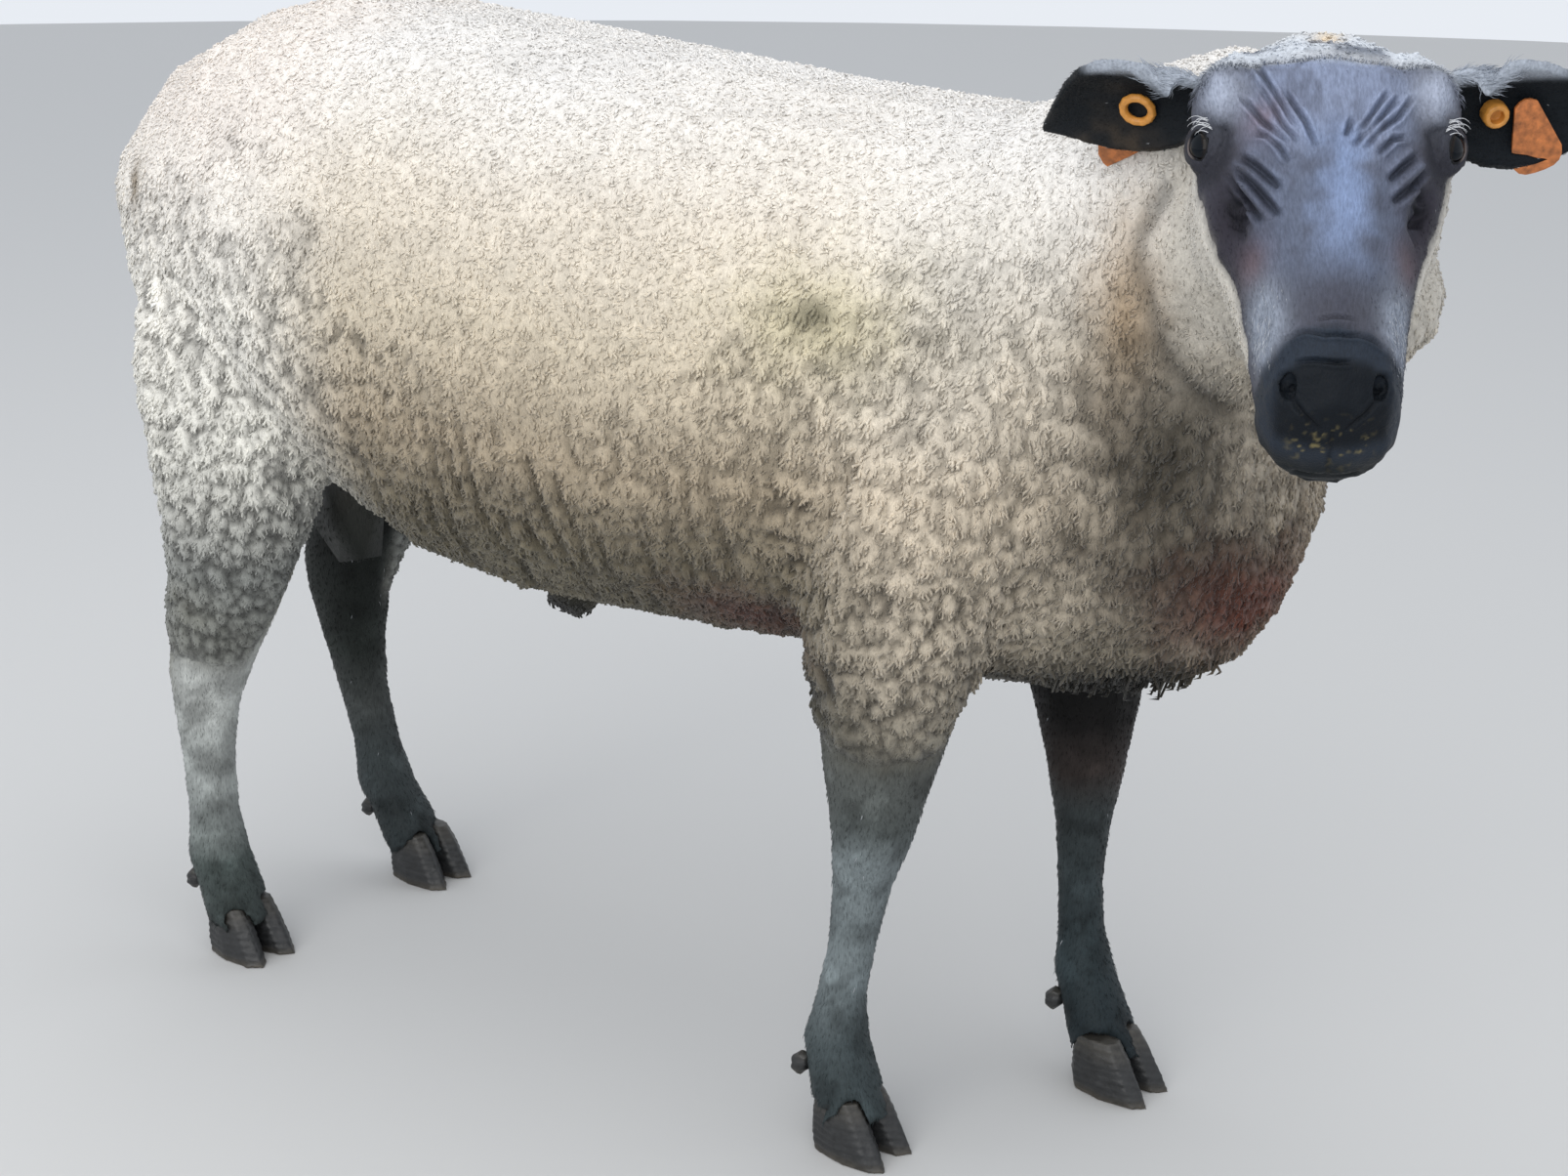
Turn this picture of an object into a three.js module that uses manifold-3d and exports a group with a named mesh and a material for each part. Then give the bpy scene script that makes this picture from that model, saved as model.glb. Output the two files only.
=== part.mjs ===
// A standing ram, life size: a stocky meat-breed sheep in a short fleece, its head turned to its right.
// Frame: millimetres, +X towards the chest, +Y to the animal's left, +Z up, floor at Z = 0.
// The origin is on the floor below the middle of the animal's box.
// The flesh is lofted as whole body parts, joined, and then divided with thin cuts.

import * as THREE from "three";
import { mergeVertices } from "three/addons/utils/BufferGeometryUtils.js";
import Module from "manifold-3d";

const wasm = await Module();
wasm.setup();

// ---------------------------------------------------------------- driving dimensions

const CUT = 0.3; // width of the thin cut between neighbouring nodes
const MIDLINE_WEB = 36; // half thickness of trunk left between the two thighs and between the two shoulders
const FACE_PITCH = 36; // how far the line of the face drops below level, degrees
const FACE_TURN = -65.6; // heading of the face from +X, degrees
const FACE_ROLL = 1.2; // tilt of the face to its left, degrees
const EYE_MIDPOINT = { x: 508, y: -148, z: 696 };
const EYE_SPACING = 110; // between the middles of the two eyeballs
const EYEBALL_RADIUS = 15;
const HOOF_LENGTH = 68;
const HOOF_WIDTH = 25;
const HOOF_HEIGHT = 42;
const CLEFT_HALF = 0.8; // half the gap between the two claws of a foot
const CLAW_SPLAY = 4; // how far each claw turns outwards, degrees
const DEWCLAW = { height: 57, behind: 27, apart: 11, size: [8, 6.5, 11] };

// ---------------------------------------------------------------- colours

const finishes = {
  fleece: { color: 0xb7a98c, roughness: 0.95 },
  darkFleece: { color: 0x6e6656, roughness: 0.95 },
  face: { color: 0x3a3d46, roughness: 0.8 },
  muzzle: { color: 0x25272c, roughness: 0.6 },
  lightLeg: { color: 0x9a9280, roughness: 0.9 },
  darkLeg: { color: 0x2e2b29, roughness: 0.85 },
  horn: { color: 0x191817, roughness: 0.55 },
  eye: { color: 0x0d0b0a, roughness: 0.08 },
  bareSkin: { color: 0x39382f, roughness: 0.8 },
  amberTag: { color: 0xb0742a, roughness: 0.45 },
  orangeTag: { color: 0xb4541f, roughness: 0.5 },
};

// ---------------------------------------------------------------- small helpers

const radians = (degrees) => (degrees * Math.PI) / 180;

/** A number of a station, or of its neighbours, by Catmull-Rom: smooth, and through every station. */
function glide(before, from, to, after, t) {
  const slopeFrom = (to - before) / 2;
  const slopeTo = (after - from) / 2;
  const rise = to - from;
  const cubic = slopeFrom + slopeTo - 2 * rise;
  const square = 3 * rise - 2 * slopeFrom - slopeTo;
  return from + t * (slopeFrom + t * (square + t * cubic));
}

/** Fills in the stations of a loft so that there are `steps` spans between each two. */
function fillStations(stations, steps) {
  const filled = [];
  for (let index = 0; index < stations.length - 1; index += 1) {
    const from = stations[index];
    const to = stations[index + 1];
    const before = stations[Math.max(index - 1, 0)];
    const after = stations[Math.min(index + 2, stations.length - 1)];
    for (let step = 0; step < steps; step += 1) {
      const station = {};
      for (const field of Object.keys(from)) {
        station[field] = glide(before[field], from[field], to[field], after[field], step / steps);
      }
      filled.push(station);
    }
  }
  filled.push({ ...stations[stations.length - 1] });
  return filled;
}

/** A point on a closed oval whose corners get squarer as `power` grows; 2 is an ellipse. */
function ovalPoint(angle, power) {
  const round = (value) => Math.sign(value) * Math.abs(value) ** (2 / power);
  return { across: round(Math.cos(angle)), up: round(Math.sin(angle)) };
}

/** Closed geometry from rings of points, with a fan over each end. */
function skinRings(rings) {
  const positions = [];
  const triangles = [];
  const sides = rings[0].length;
  for (const ring of rings) {
    for (const point of ring) {
      positions.push(point.x, point.y, point.z);
    }
  }
  for (let ring = 0; ring < rings.length - 1; ring += 1) {
    for (let side = 0; side < sides; side += 1) {
      const next = (side + 1) % sides;
      const a = ring * sides + side;
      const b = ring * sides + next;
      triangles.push(a, b, a + sides, b, b + sides, a + sides);
    }
  }
  for (const [ring, flip] of [[0, true], [rings.length - 1, false]]) {
    const middle = new THREE.Vector3();
    rings[ring].forEach((point) => middle.addScaledVector(point, 1 / sides));
    const hub = positions.length / 3;
    positions.push(middle.x, middle.y, middle.z);
    for (let side = 0; side < sides; side += 1) {
      const a = ring * sides + side;
      const b = ring * sides + ((side + 1) % sides);
      triangles.push(...(flip ? [hub, b, a] : [hub, a, b]));
    }
  }
  const geometry = new THREE.BufferGeometry();
  geometry.setAttribute("position", new THREE.Float32BufferAttribute(positions, 3));
  geometry.setIndex(triangles);
  return geometry;
}

/** Signed volume, negative where the faces point inwards. */
function signedVolume(geometry) {
  const position = geometry.attributes.position;
  const corners = [new THREE.Vector3(), new THREE.Vector3(), new THREE.Vector3()];
  let volume = 0;
  for (let start = 0; start < geometry.index.count; start += 3) {
    corners.forEach((corner, k) => corner.fromBufferAttribute(position, geometry.index.getX(start + k)));
    volume += corners[0].dot(corners[1].clone().cross(corners[2])) / 6;
  }
  return volume;
}

/** A manifold solid from a closed three.js geometry, turned right side out if need be. */
function solidOf(geometry) {
  const bare = geometry.clone();
  bare.deleteAttribute("normal");
  bare.deleteAttribute("uv");
  const merged = mergeVertices(bare, 1e-3);
  const triangles = Uint32Array.from(merged.index.array);
  if (signedVolume(merged) < 0) {
    for (let start = 0; start < triangles.length; start += 3) {
      [triangles[start], triangles[start + 1]] = [triangles[start + 1], triangles[start]];
    }
  }
  const vertices = Float32Array.from(merged.attributes.position.array);
  return new wasm.Manifold(new wasm.Mesh({ numProp: 3, vertProperties: vertices, triVerts: triangles }));
}

/** The largest single body of a solid: a cut may leave crumbs beside it. */
function mainBody(solid) {
  const bodies = solid.decompose();
  return bodies.reduce((best, body) => (body.volume() > best.volume() ? body : best), bodies[0]);
}

/** The three.js geometry of a solid. */
function geometryOf(solid) {
  const mesh = solid.getMesh();
  const geometry = new THREE.BufferGeometry();
  geometry.setAttribute("position", new THREE.Float32BufferAttribute(mesh.vertProperties, 3));
  geometry.setIndex(new THREE.Uint32BufferAttribute(mesh.triVerts, 1));
  geometry.computeVertexNormals();
  return geometry;
}

// ---------------------------------------------------------------- lofts

/** Loft with upright cross-sections square to +X. `power` shapes the upper half, `under` the lower. */
function loftAlongX(stations, { sides, steps, grow = 0 }) {
  const rings = fillStations(stations, steps).map((station) =>
    Array.from({ length: sides }, (_, side) => {
      const upper = side <= sides / 2;
      const oval = ovalPoint((2 * Math.PI * side) / sides, upper ? station.power : station.under);
      const height = (upper ? station.rise : station.drop) + grow;
      return new THREE.Vector3(
        station.x,
        station.y + oval.across * (station.half + grow),
        station.z + oval.up * height,
      );
    }),
  );
  return solidOf(skinRings(rings));
}

/** Loft with level cross-sections, for limbs. A station: x, y, z, front, back, half, power. */
function loftAlongZ(stations, { sides, steps, grow = 0 }) {
  const rings = fillStations(stations, steps).map((station) =>
    Array.from({ length: sides }, (_, side) => {
      const oval = ovalPoint((2 * Math.PI * side) / sides, station.power);
      const reach = (oval.across > 0 ? station.front : station.back) + grow;
      return new THREE.Vector3(
        station.x + oval.across * reach,
        station.y + oval.up * (station.half + grow),
        station.z,
      );
    }),
  );
  return solidOf(skinRings(rings));
}

/** Loft square to its own path, its width kept level. A station: x, y, z, half, rise, drop. */
function loftAlongPath(stations, { sides, steps, grow = 0 }) {
  const filled = fillStations(stations, steps);
  const rings = filled.map((station, index) => {
    const ahead = filled[Math.min(index + 1, filled.length - 1)];
    const behind = filled[Math.max(index - 1, 0)];
    const forward = new THREE.Vector3().subVectors(ahead, behind).normalize();
    const across = new THREE.Vector3(0, 0, 1).cross(forward).normalize();
    const up = forward.clone().cross(across);
    return Array.from({ length: sides }, (_, side) => {
      const oval = ovalPoint((2 * Math.PI * side) / sides, 2.1);
      const height = (oval.up > 0 ? station.rise : station.drop) + grow;
      return new THREE.Vector3(station.x, station.y, station.z)
        .addScaledVector(across, oval.across * (station.half + grow))
        .addScaledVector(up, oval.up * height);
    });
  });
  return solidOf(skinRings(rings));
}

/** An egg-shaped lump: a sphere stretched along its own axes, then turned and placed. */
function lump({ at, size, turn = [0, 0, 0], grow = 0, fine = 14 }) {
  const geometry = new THREE.SphereGeometry(1, fine, Math.round(fine * 0.7));
  geometry.scale(size[0] + grow, size[1] + grow, size[2] + grow);
  geometry.applyMatrix4(new THREE.Matrix4().makeRotationFromEuler(new THREE.Euler(...turn.map(radians))));
  geometry.translate(...at);
  return solidOf(geometry);
}

/** A box given by its lowest and highest corners. */
function block(low, high) {
  const geometry = new THREE.BoxGeometry(high[0] - low[0], high[1] - low[1], high[2] - low[2]);
  geometry.translate((low[0] + high[0]) / 2, (low[1] + high[1]) / 2, (low[2] + high[2]) / 2);
  return solidOf(geometry);
}

// ---------------------------------------------------------------- trunk and neck

const trunkStations = [
  { x: -468, y: 0, z: 590, half: 12, rise: 14, drop: 24, power: 2, under: 2 },
  { x: -456, y: 0, z: 585, half: 40, rise: 44, drop: 92, power: 2, under: 2 },
  { x: -430, y: 0, z: 575, half: 74, rise: 82, drop: 132, power: 2, under: 2 },
  { x: -390, y: 0, z: 562, half: 108, rise: 114, drop: 142, power: 2.1, under: 2 },
  { x: -330, y: 0, z: 556, half: 140, rise: 154, drop: 114, power: 2.2, under: 2 },
  { x: -250, y: 0, z: 540, half: 160, rise: 194, drop: 150, power: 2.4, under: 2 },
  { x: -140, y: 0, z: 520, half: 170, rise: 206, drop: 190, power: 2.4, under: 2 },
  { x: -20, y: 0, z: 508, half: 174, rise: 205, drop: 187, power: 2.4, under: 2 },
  { x: 90, y: 0, z: 504, half: 170, rise: 198, drop: 181, power: 2.3, under: 2 },
  { x: 190, y: 0, z: 504, half: 160, rise: 189, drop: 180, power: 2.25, under: 2 },
  { x: 280, y: 0, z: 508, half: 148, rise: 180, drop: 187, power: 2.2, under: 2 },
  { x: 360, y: 2, z: 512, half: 130, rise: 166, drop: 182, power: 2.15, under: 2 },
  { x: 420, y: 6, z: 512, half: 106, rise: 140, drop: 158, power: 2.1, under: 2 },
  { x: 453, y: 10, z: 508, half: 72, rise: 100, drop: 106, power: 2, under: 2 },
  { x: 466, y: 12, z: 505, half: 24, rise: 36, drop: 36, power: 2, under: 2 },
];

const neckStations = [
  { x: 232, y: 0, z: 560, half: 118, rise: 112, drop: 150 },
  { x: 300, y: -2, z: 590, half: 120, rise: 104, drop: 148 },
  { x: 362, y: -16, z: 622, half: 110, rise: 94, drop: 136 },
  { x: 408, y: -38, z: 650, half: 92, rise: 82, drop: 122 },
  { x: 442, y: -68, z: 674, half: 72, rise: 68, drop: 104 },
  { x: 460, y: -92, z: 686, half: 56, rise: 54, drop: 82 },
];

const trunkShape = (grow = 0) => loftAlongX(trunkStations, { sides: 18, steps: 2, grow });
const neckShape = (grow = 0) => loftAlongPath(neckStations, { sides: 16, steps: 1, grow });

// ---------------------------------------------------------------- legs

/** Sizes down a fore leg: the shoulder, forearm, knee, cannon, fetlock and pastern. */
const foreLegSizes = [
  { z: 590, front: 48, back: 56, half: 50, power: 2.1 },
  { z: 530, front: 78, back: 86, half: 66, power: 2.1 },
  { z: 450, front: 84, back: 94, half: 68, power: 2.1 },
  { z: 380, front: 66, back: 76, half: 56, power: 2.1 },
  { z: 320, front: 48, back: 54, half: 43, power: 2.1 },
  { z: 270, front: 36, back: 38, half: 34, power: 2.1 },
  { z: 226, front: 27, back: 27, half: 28, power: 2.2 },
  { z: 188, front: 20, back: 20, half: 20, power: 2.2 },
  { z: 145, front: 17, back: 16, half: 17, power: 2.2 },
  { z: 108, front: 17, back: 17, half: 18, power: 2.2 },
  { z: 78, front: 20, back: 23, half: 23, power: 2.3 },
  { z: 52, front: 21, back: 25, half: 25, power: 2.3 },
  { z: 24, front: 24, back: 28, half: 26, power: 2.4 },
];

/** Sizes down a hind leg: the thigh, gaskin, hock, cannon, fetlock and pastern. */
const hindLegSizes = [
  { z: 620, front: 60, back: 38, half: 44, power: 2.1 },
  { z: 560, front: 92, back: 58, half: 64, power: 2.1 },
  { z: 490, front: 102, back: 68, half: 72, power: 2.1 },
  { z: 430, front: 88, back: 68, half: 67, power: 2.1 },
  { z: 370, front: 64, back: 60, half: 55, power: 2.1 },
  { z: 318, front: 52, back: 49, half: 43, power: 2.1 },
  { z: 280, front: 44, back: 50, half: 34, power: 2.1 },
  { z: 248, front: 34, back: 40, half: 29, power: 2.2 },
  { z: 210, front: 26, back: 29, half: 23, power: 2.2 },
  { z: 165, front: 21, back: 22, half: 19, power: 2.2 },
  { z: 118, front: 19, back: 20, half: 19, power: 2.2 },
  { z: 80, front: 21, back: 25, half: 24, power: 2.3 },
  { z: 52, front: 21, back: 26, half: 25, power: 2.3 },
  { z: 24, front: 24, back: 28, half: 26, power: 2.4 },
];

/** Each leg: the line it follows from the top down, and the place and heading of its foot. */
const legs = [
  {
    name: "fore_right",
    side: -1,
    sizes: foreLegSizes,
    split: 238,
    line: [
      { z: 590, x: 306, y: -80 },
      { z: 380, x: 250, y: -98 },
      { z: 226, x: 223, y: -88 },
      { z: 145, x: 207, y: -84 },
      { z: 78, x: 200, y: -88 },
      { z: 24, x: 218, y: -92 },
    ],
    foot: { x: 220, y: -92, turn: -8 },
    finish: "lightLeg",
  },
  {
    name: "fore_left",
    side: 1,
    sizes: foreLegSizes,
    split: 226,
    line: [
      { z: 590, x: 322, y: 78 },
      { z: 380, x: 288, y: 98 },
      { z: 212, x: 292, y: 93 },
      { z: 140, x: 290, y: 96 },
      { z: 78, x: 301, y: 90 },
      { z: 24, x: 327, y: 80 },
    ],
    foot: { x: 334, y: 77, turn: -6 },
    finish: "darkLeg",
  },
  {
    name: "hind_right",
    side: -1,
    sizes: hindLegSizes,
    split: 246,
    line: [
      { z: 620, x: -340, y: -58 },
      { z: 490, x: -312, y: -88 },
      { z: 370, x: -300, y: -102 },
      { z: 280, x: -326, y: -99 },
      { z: 200, x: -351, y: -95 },
      { z: 80, x: -353, y: -88 },
      { z: 24, x: -335, y: -85 },
    ],
    foot: { x: -331, y: -85, turn: -6 },
    finish: "lightLeg",
  },
  {
    name: "hind_left",
    side: 1,
    sizes: hindLegSizes,
    split: 246,
    line: [
      { z: 620, x: -340, y: 58 },
      { z: 490, x: -318, y: 86 },
      { z: 370, x: -318, y: 94 },
      { z: 280, x: -352, y: 84 },
      { z: 200, x: -356, y: 84 },
      { z: 80, x: -337, y: 94 },
      { z: 24, x: -309, y: 100 },
    ],
    foot: { x: -302, y: 101, turn: -4 },
    finish: "darkLeg",
  },
];

/** How much wider than its leg, and how deep, the pillar is that cuts each leg from the trunk. */
const PILLAR = { margin: 9, reach: 150 };

/** The point of a leg's line at a height. */
function lineAt(line, z) {
  let index = 0;
  while (index < line.length - 2 && line[index + 1].z > z) {
    index += 1;
  }
  const from = line[index];
  const to = line[index + 1];
  const before = line[Math.max(index - 1, 0)];
  const after = line[Math.min(index + 2, line.length - 1)];
  const t = (from.z - z) / (from.z - to.z);
  return {
    x: glide(before.x, from.x, to.x, after.x, t),
    y: glide(before.y, from.y, to.y, after.y, t),
  };
}

/** The whole of one leg, from inside the trunk down to inside the hoof. */
function legLoft(leg) {
  const stations = leg.sizes.map((size) => ({ ...lineAt(leg.line, size.z), ...size }));
  return loftAlongZ(stations, { sides: 10, steps: 1 });
}

/** A pillar round a leg, open to the outside, that marks the leg off from the trunk. */
function legCutter(leg, grow) {
  const lowest = leg.sizes.length - 1;
  const few = leg.sizes.filter((size, index) => index % 3 === 0 || index === lowest);
  const stations = few.map((size) => ({
    x: lineAt(leg.line, size.z).x,
    y: leg.side * (MIDLINE_WEB + PILLAR.reach),
    z: size.z,
    front: size.front + PILLAR.margin,
    back: size.back + PILLAR.margin,
    half: PILLAR.reach,
    power: 5,
  }));
  return loftAlongZ(stations, { sides: 12, steps: 1, grow });
}

/** One claw of a hoof, standing on a flat sole, heel to toe along +X. */
function claw(foot, side, grow = 0) {
  const length = HOOF_LENGTH / 2;
  const half = HOOF_WIDTH / 2;
  const stations = [
    { x: 0, z: 0, front: length, back: length * 0.86, half },
    { x: -2, z: HOOF_HEIGHT * 0.3, front: length * 0.86, back: length * 0.86, half },
    { x: -6, z: HOOF_HEIGHT * 0.7, front: length * 0.68, back: length * 0.72, half: half * 0.94 },
    { x: -9, z: HOOF_HEIGHT, front: length * 0.5, back: length * 0.52, half: half * 0.78 },
  ].map((station) => ({ y: 0, power: 2.2, ...station }));
  const matrix = new THREE.Matrix4()
    .makeTranslation(foot.x, foot.y, 0)
    .multiply(new THREE.Matrix4().makeRotationZ(radians(foot.turn)))
    .multiply(new THREE.Matrix4().makeTranslation(0, side * (half + CLEFT_HALF), 0))
    .multiply(new THREE.Matrix4().makeRotationZ(radians(side * CLAW_SPLAY)));
  return loftAlongZ(stations, { sides: 8, steps: 1, grow }).transform(matrix.elements);
}

/** One dewclaw, behind the fetlock. */
function dewclaw(leg, side, grow = 0) {
  const at = lineAt(leg.line, DEWCLAW.height);
  return lump({
    at: [at.x - DEWCLAW.behind, at.y + side * DEWCLAW.apart, DEWCLAW.height],
    size: DEWCLAW.size,
    turn: [0, 25, 0],
    grow,
    fine: 6,
  });
}

// ---------------------------------------------------------------- head

/** From the head's own frame, x along the face to the nose and z out of the forehead, to the body's. */
const headMatrix = (() => {
  const turn = radians(FACE_TURN);
  const pitch = radians(FACE_PITCH);
  const level = Math.cos(pitch);
  const forward = new THREE.Vector3(level * Math.cos(turn), level * Math.sin(turn), -Math.sin(pitch));
  const left = new THREE.Vector3(-Math.sin(turn), Math.cos(turn), 0);
  const up = forward.clone().cross(left);
  return new THREE.Matrix4()
    .makeBasis(forward, left, up)
    .multiply(new THREE.Matrix4().makeRotationX(radians(FACE_ROLL)))
    .setPosition(EYE_MIDPOINT.x, EYE_MIDPOINT.y, EYE_MIDPOINT.z);
})();

/** From the back of the skull to the nose, in the head's frame. */
const headStations = [
  { x: -92, y: 0, z: -62, half: 18, rise: 18, drop: 22, power: 2, under: 2 },
  { x: -86, y: 0, z: -60, half: 44, rise: 42, drop: 44, power: 2.1, under: 2 },
  { x: -70, y: 0, z: -48, half: 58, rise: 60, drop: 66, power: 2.3, under: 2 },
  { x: -46, y: 0, z: -32, half: 66, rise: 62, drop: 84, power: 2.4, under: 2 },
  { x: -20, y: 0, z: -22, half: 67, rise: 57, drop: 90, power: 2.4, under: 2 },
  { x: 8, y: 0, z: -22, half: 65, rise: 54, drop: 86, power: 2.2, under: 2 },
  { x: 40, y: 0, z: -28, half: 57, rise: 52, drop: 72, power: 2, under: 2 },
  { x: 74, y: 0, z: -32, half: 47, rise: 49, drop: 58, power: 2, under: 2 },
  { x: 106, y: 0, z: -34, half: 40, rise: 45, drop: 46, power: 2.1, under: 2 },
  { x: 134, y: 0, z: -35, half: 36, rise: 43, drop: 40, power: 2.3, under: 2.2 },
  { x: 152, y: 0, z: -36, half: 34, rise: 38, drop: 36, power: 2.3, under: 2.1 },
  { x: 166, y: 0, z: -38, half: 27, rise: 28, drop: 27, power: 2.2, under: 2 },
  { x: 173, y: 0, z: -39, half: 12, rise: 13, drop: 12, power: 2, under: 2 },
];

/** Lumps that fill out the lofted head; each that is paired is repeated on the other side. */
const headLumps = [
  { at: [-14, 50, 12], size: [20, 19, 15], paired: true }, // upper rim of the eye socket
  { at: [-32, 38, 8], size: [28, 26, 19], paired: true }, // brow pad
  { at: [2, 48, -26], size: [40, 17, 15], paired: true }, // cheekbone below the eye
  { at: [-10, 46, -58], size: [52, 21, 44], paired: true }, // cheek muscle
  { at: [-50, 0, -6], size: [34, 46, 30], paired: false }, // woolly crown
  { at: [146, 17, -42], size: [22, 18, 22], paired: true }, // upper lip
  { at: [138, 0, -66], size: [28, 24, 16], paired: false }, // chin
];

const eyePlaces = { right: [0, -EYE_SPACING / 2, -1], left: [0, EYE_SPACING / 2, -1] };

/** The head in its own frame, without sockets or nostrils. */
function headShape(grow = 0) {
  let shape = loftAlongX(headStations, { sides: 16, steps: 1, grow });
  for (const { at, size, paired } of headLumps) {
    const sides = paired ? [-1, 1] : [1];
    for (const side of sides) {
      shape = shape.add(lump({ at: [at[0], at[1] * side, at[2]], size, grow, fine: 7 }));
    }
  }
  return shape;
}

/** An eyeball in the head's frame. */
function eyeball(place, grow = 0) {
  return lump({ at: place, size: [EYEBALL_RADIUS, EYEBALL_RADIUS, EYEBALL_RADIUS], grow, fine: 10 });
}

/** The two nostrils' hollows, slanting back from the tip of the nose. */
function nostrilHollow(side) {
  return lump({ at: [155, side * 22, -9], size: [7, 4.5, 8], turn: [side * -25, 0, side * 20], fine: 6 });
}

// ---------------------------------------------------------------- ears

const ear = { length: 106, width: 58, thickness: 7, curl: 50 };

/** A leaf-shaped cupped ear, root to tip along +X, its hollow facing +Z, bowed sideways by `bow`. */
function earShape(bow, grow = 0) {
  const spans = 8;
  const arcSteps = 5;
  const rings = [];
  for (let span = 0; span <= spans; span += 1) {
    const t = span / spans;
    const width = ear.width * Math.sin(Math.PI * (0.84 * t + 0.12)) * (1 - 0.45 * t ** 8);
    const curl = radians(ear.curl * (1.35 - 0.9 * t));
    const radius = width / 2 / Math.sin(Math.min(curl, Math.PI / 2));
    const half = (ear.thickness * (1 - 0.25 * t)) / 2 + grow;
    const centre = bow * Math.sin(Math.PI * t);
    const arcPoint = (step, reach) => {
      const angle = -curl + (2 * curl * step) / arcSteps;
      const across = centre + reach * Math.sin(angle);
      return new THREE.Vector3(t * ear.length, across, radius - reach * Math.cos(angle));
    };
    const ring = [];
    for (let step = 0; step <= arcSteps; step += 1) {
      ring.push(arcPoint(step, radius + half));
    }
    for (let step = arcSteps; step >= 0; step -= 1) {
      ring.push(arcPoint(step, radius - half));
    }
    rings.push(ring);
  }
  return solidOf(skinRings(rings));
}

/** Each ear's root in the head's frame, the way it points, the way its hollow faces, its bow. */
const earPlaces = {
  right: { root: [-40, -52, -2], towards: [-0.22, -0.86, -0.42], hollow: [0.97, -0.1, 0.12], bow: -12 },
  left: { root: [-40, 52, -2], towards: [-0.1, 0.96, -0.26], hollow: [0.9, 0.1, 0.32], bow: 2 },
};

/** From an ear's own frame to the head's. */
function earMatrix({ root, towards, hollow }) {
  const along = new THREE.Vector3(...towards).normalize();
  const facing = new THREE.Vector3(...hollow);
  facing.addScaledVector(along, -facing.dot(along)).normalize();
  const across = facing.clone().cross(along);
  return new THREE.Matrix4().makeBasis(along, across, facing).setPosition(...root);
}

// ---------------------------------------------------------------- tail and underside

/** The docked tail, lying down the middle of the rump. */
const tailStations = [
  { x: -406, y: 0, z: 676, front: 8, back: 8, half: 9, power: 2 },
  { x: -424, y: 0, z: 661, front: 16, back: 15, half: 20, power: 2 },
  { x: -443, y: 0, z: 631, front: 17, back: 15, half: 24, power: 2 },
  { x: -456, y: 0, z: 597, front: 16, back: 15, half: 24, power: 2 },
  { x: -463, y: 0, z: 563, front: 13, back: 13, half: 19, power: 2 },
  { x: -465, y: 0, z: 547, front: 6, back: 6, half: 9, power: 2 },
];
const scrotum = { at: [-273, -8, 350], size: [34, 30, 48], fine: 10 };
const sheath = { at: [-75, 0, 314], size: [28, 15, 17], fine: 8 };

// ---------------------------------------------------------------- ear tags

const tag = { ringRadius: 8, ringThickness: 2.6, bossRadius: 7, bossHeight: 9, boreRadius: 3.8, plate: 1.8 };

/** A flat flag with rounded corners: narrow at its neck, wide at its far end, hanging along +Y. */
function flagShape(width, length) {
  const neck = width * 0.22;
  const corner = width * 0.2;
  const outline = new THREE.Shape();
  outline.moveTo(-neck, 0);
  outline.lineTo(-width / 2, length - 2 * corner);
  outline.quadraticCurveTo(-width / 2, length, -width / 2 + 2 * corner, length);
  outline.lineTo(width / 2 - 2 * corner, length);
  outline.quadraticCurveTo(width / 2, length, width / 2, length - 2 * corner);
  outline.lineTo(neck, 0);
  outline.quadraticCurveTo(0, -neck, -neck, 0);
  return new THREE.ExtrudeGeometry(outline, { depth: tag.plate, bevelEnabled: false, curveSegments: 4 });
}

/** A short tube with a closed foot, standing on the ear. */
function bossShape() {
  const profile = [
    [0, 0],
    [tag.bossRadius, 0],
    [tag.bossRadius, tag.bossHeight * 0.8],
    [tag.bossRadius * 0.86, tag.bossHeight],
    [tag.boreRadius, tag.bossHeight],
    [tag.boreRadius, tag.bossHeight * 0.4],
    [0, tag.bossHeight * 0.4],
  ].map(([x, y]) => new THREE.Vector2(x, y));
  return new THREE.LatheGeometry(profile, 12).rotateX(Math.PI / 2);
}

/** The tag pieces of each ear, in that ear's own frame. */
function tagPieces() {
  const ring = new THREE.TorusGeometry(tag.ringRadius, tag.ringThickness, 6, 12);
  ring.translate(44, -6, 7.4);
  const rightFlag = flagShape(34, 44);
  rightFlag.rotateX(radians(3)).rotateZ(radians(-4)).translate(66, -3, -7.4);
  const boss = bossShape().translate(36, 0, 4.2);
  const leftFlag = flagShape(27, 40);
  leftFlag.rotateZ(radians(-150)).translate(50, 8, 8.6);
  return [
    { ear: "right", name: "tag_ring_right", geometry: ring, finish: "amberTag" },
    { ear: "right", name: "tag_flag_right", geometry: rightFlag, finish: "orangeTag" },
    { ear: "left", name: "tag_boss_left", geometry: boss, finish: "amberTag" },
    { ear: "left", name: "tag_flag_left", geometry: leftFlag, finish: "orangeTag" },
  ];
}

// ---------------------------------------------------------------- joining and parting

const ACROSS = 600; // more than half the animal's length, for blocks that cut right across it
const LEG_TOP = 700; // above every leg loft
const FOOT_TOP = 92; // where the cannon ends and the foot begins
const FOOT_BOTTOM = 20; // where the flesh of the foot ends inside the hoof

/** Boxes that part the body: tilted about Y, then turned about Z, then moved to where the cut runs. */
const neckCut = { size: [400, 500, 500], centre: [200, 0, 0], tilt: -38, turn: -10, at: [352, 0, 612] };
const headCut = { size: [290, 158, 230], centre: [145, 0, 0], tilt: -20, turn: 0, at: [-62, 0, -30] };
const jawCut = { size: [200, 200, 120], centre: [100, 0, -60], tilt: -5, turn: 0, at: [20, 0, -68] };

const headInBody = (solid) => solid.transform(headMatrix.elements);

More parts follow.
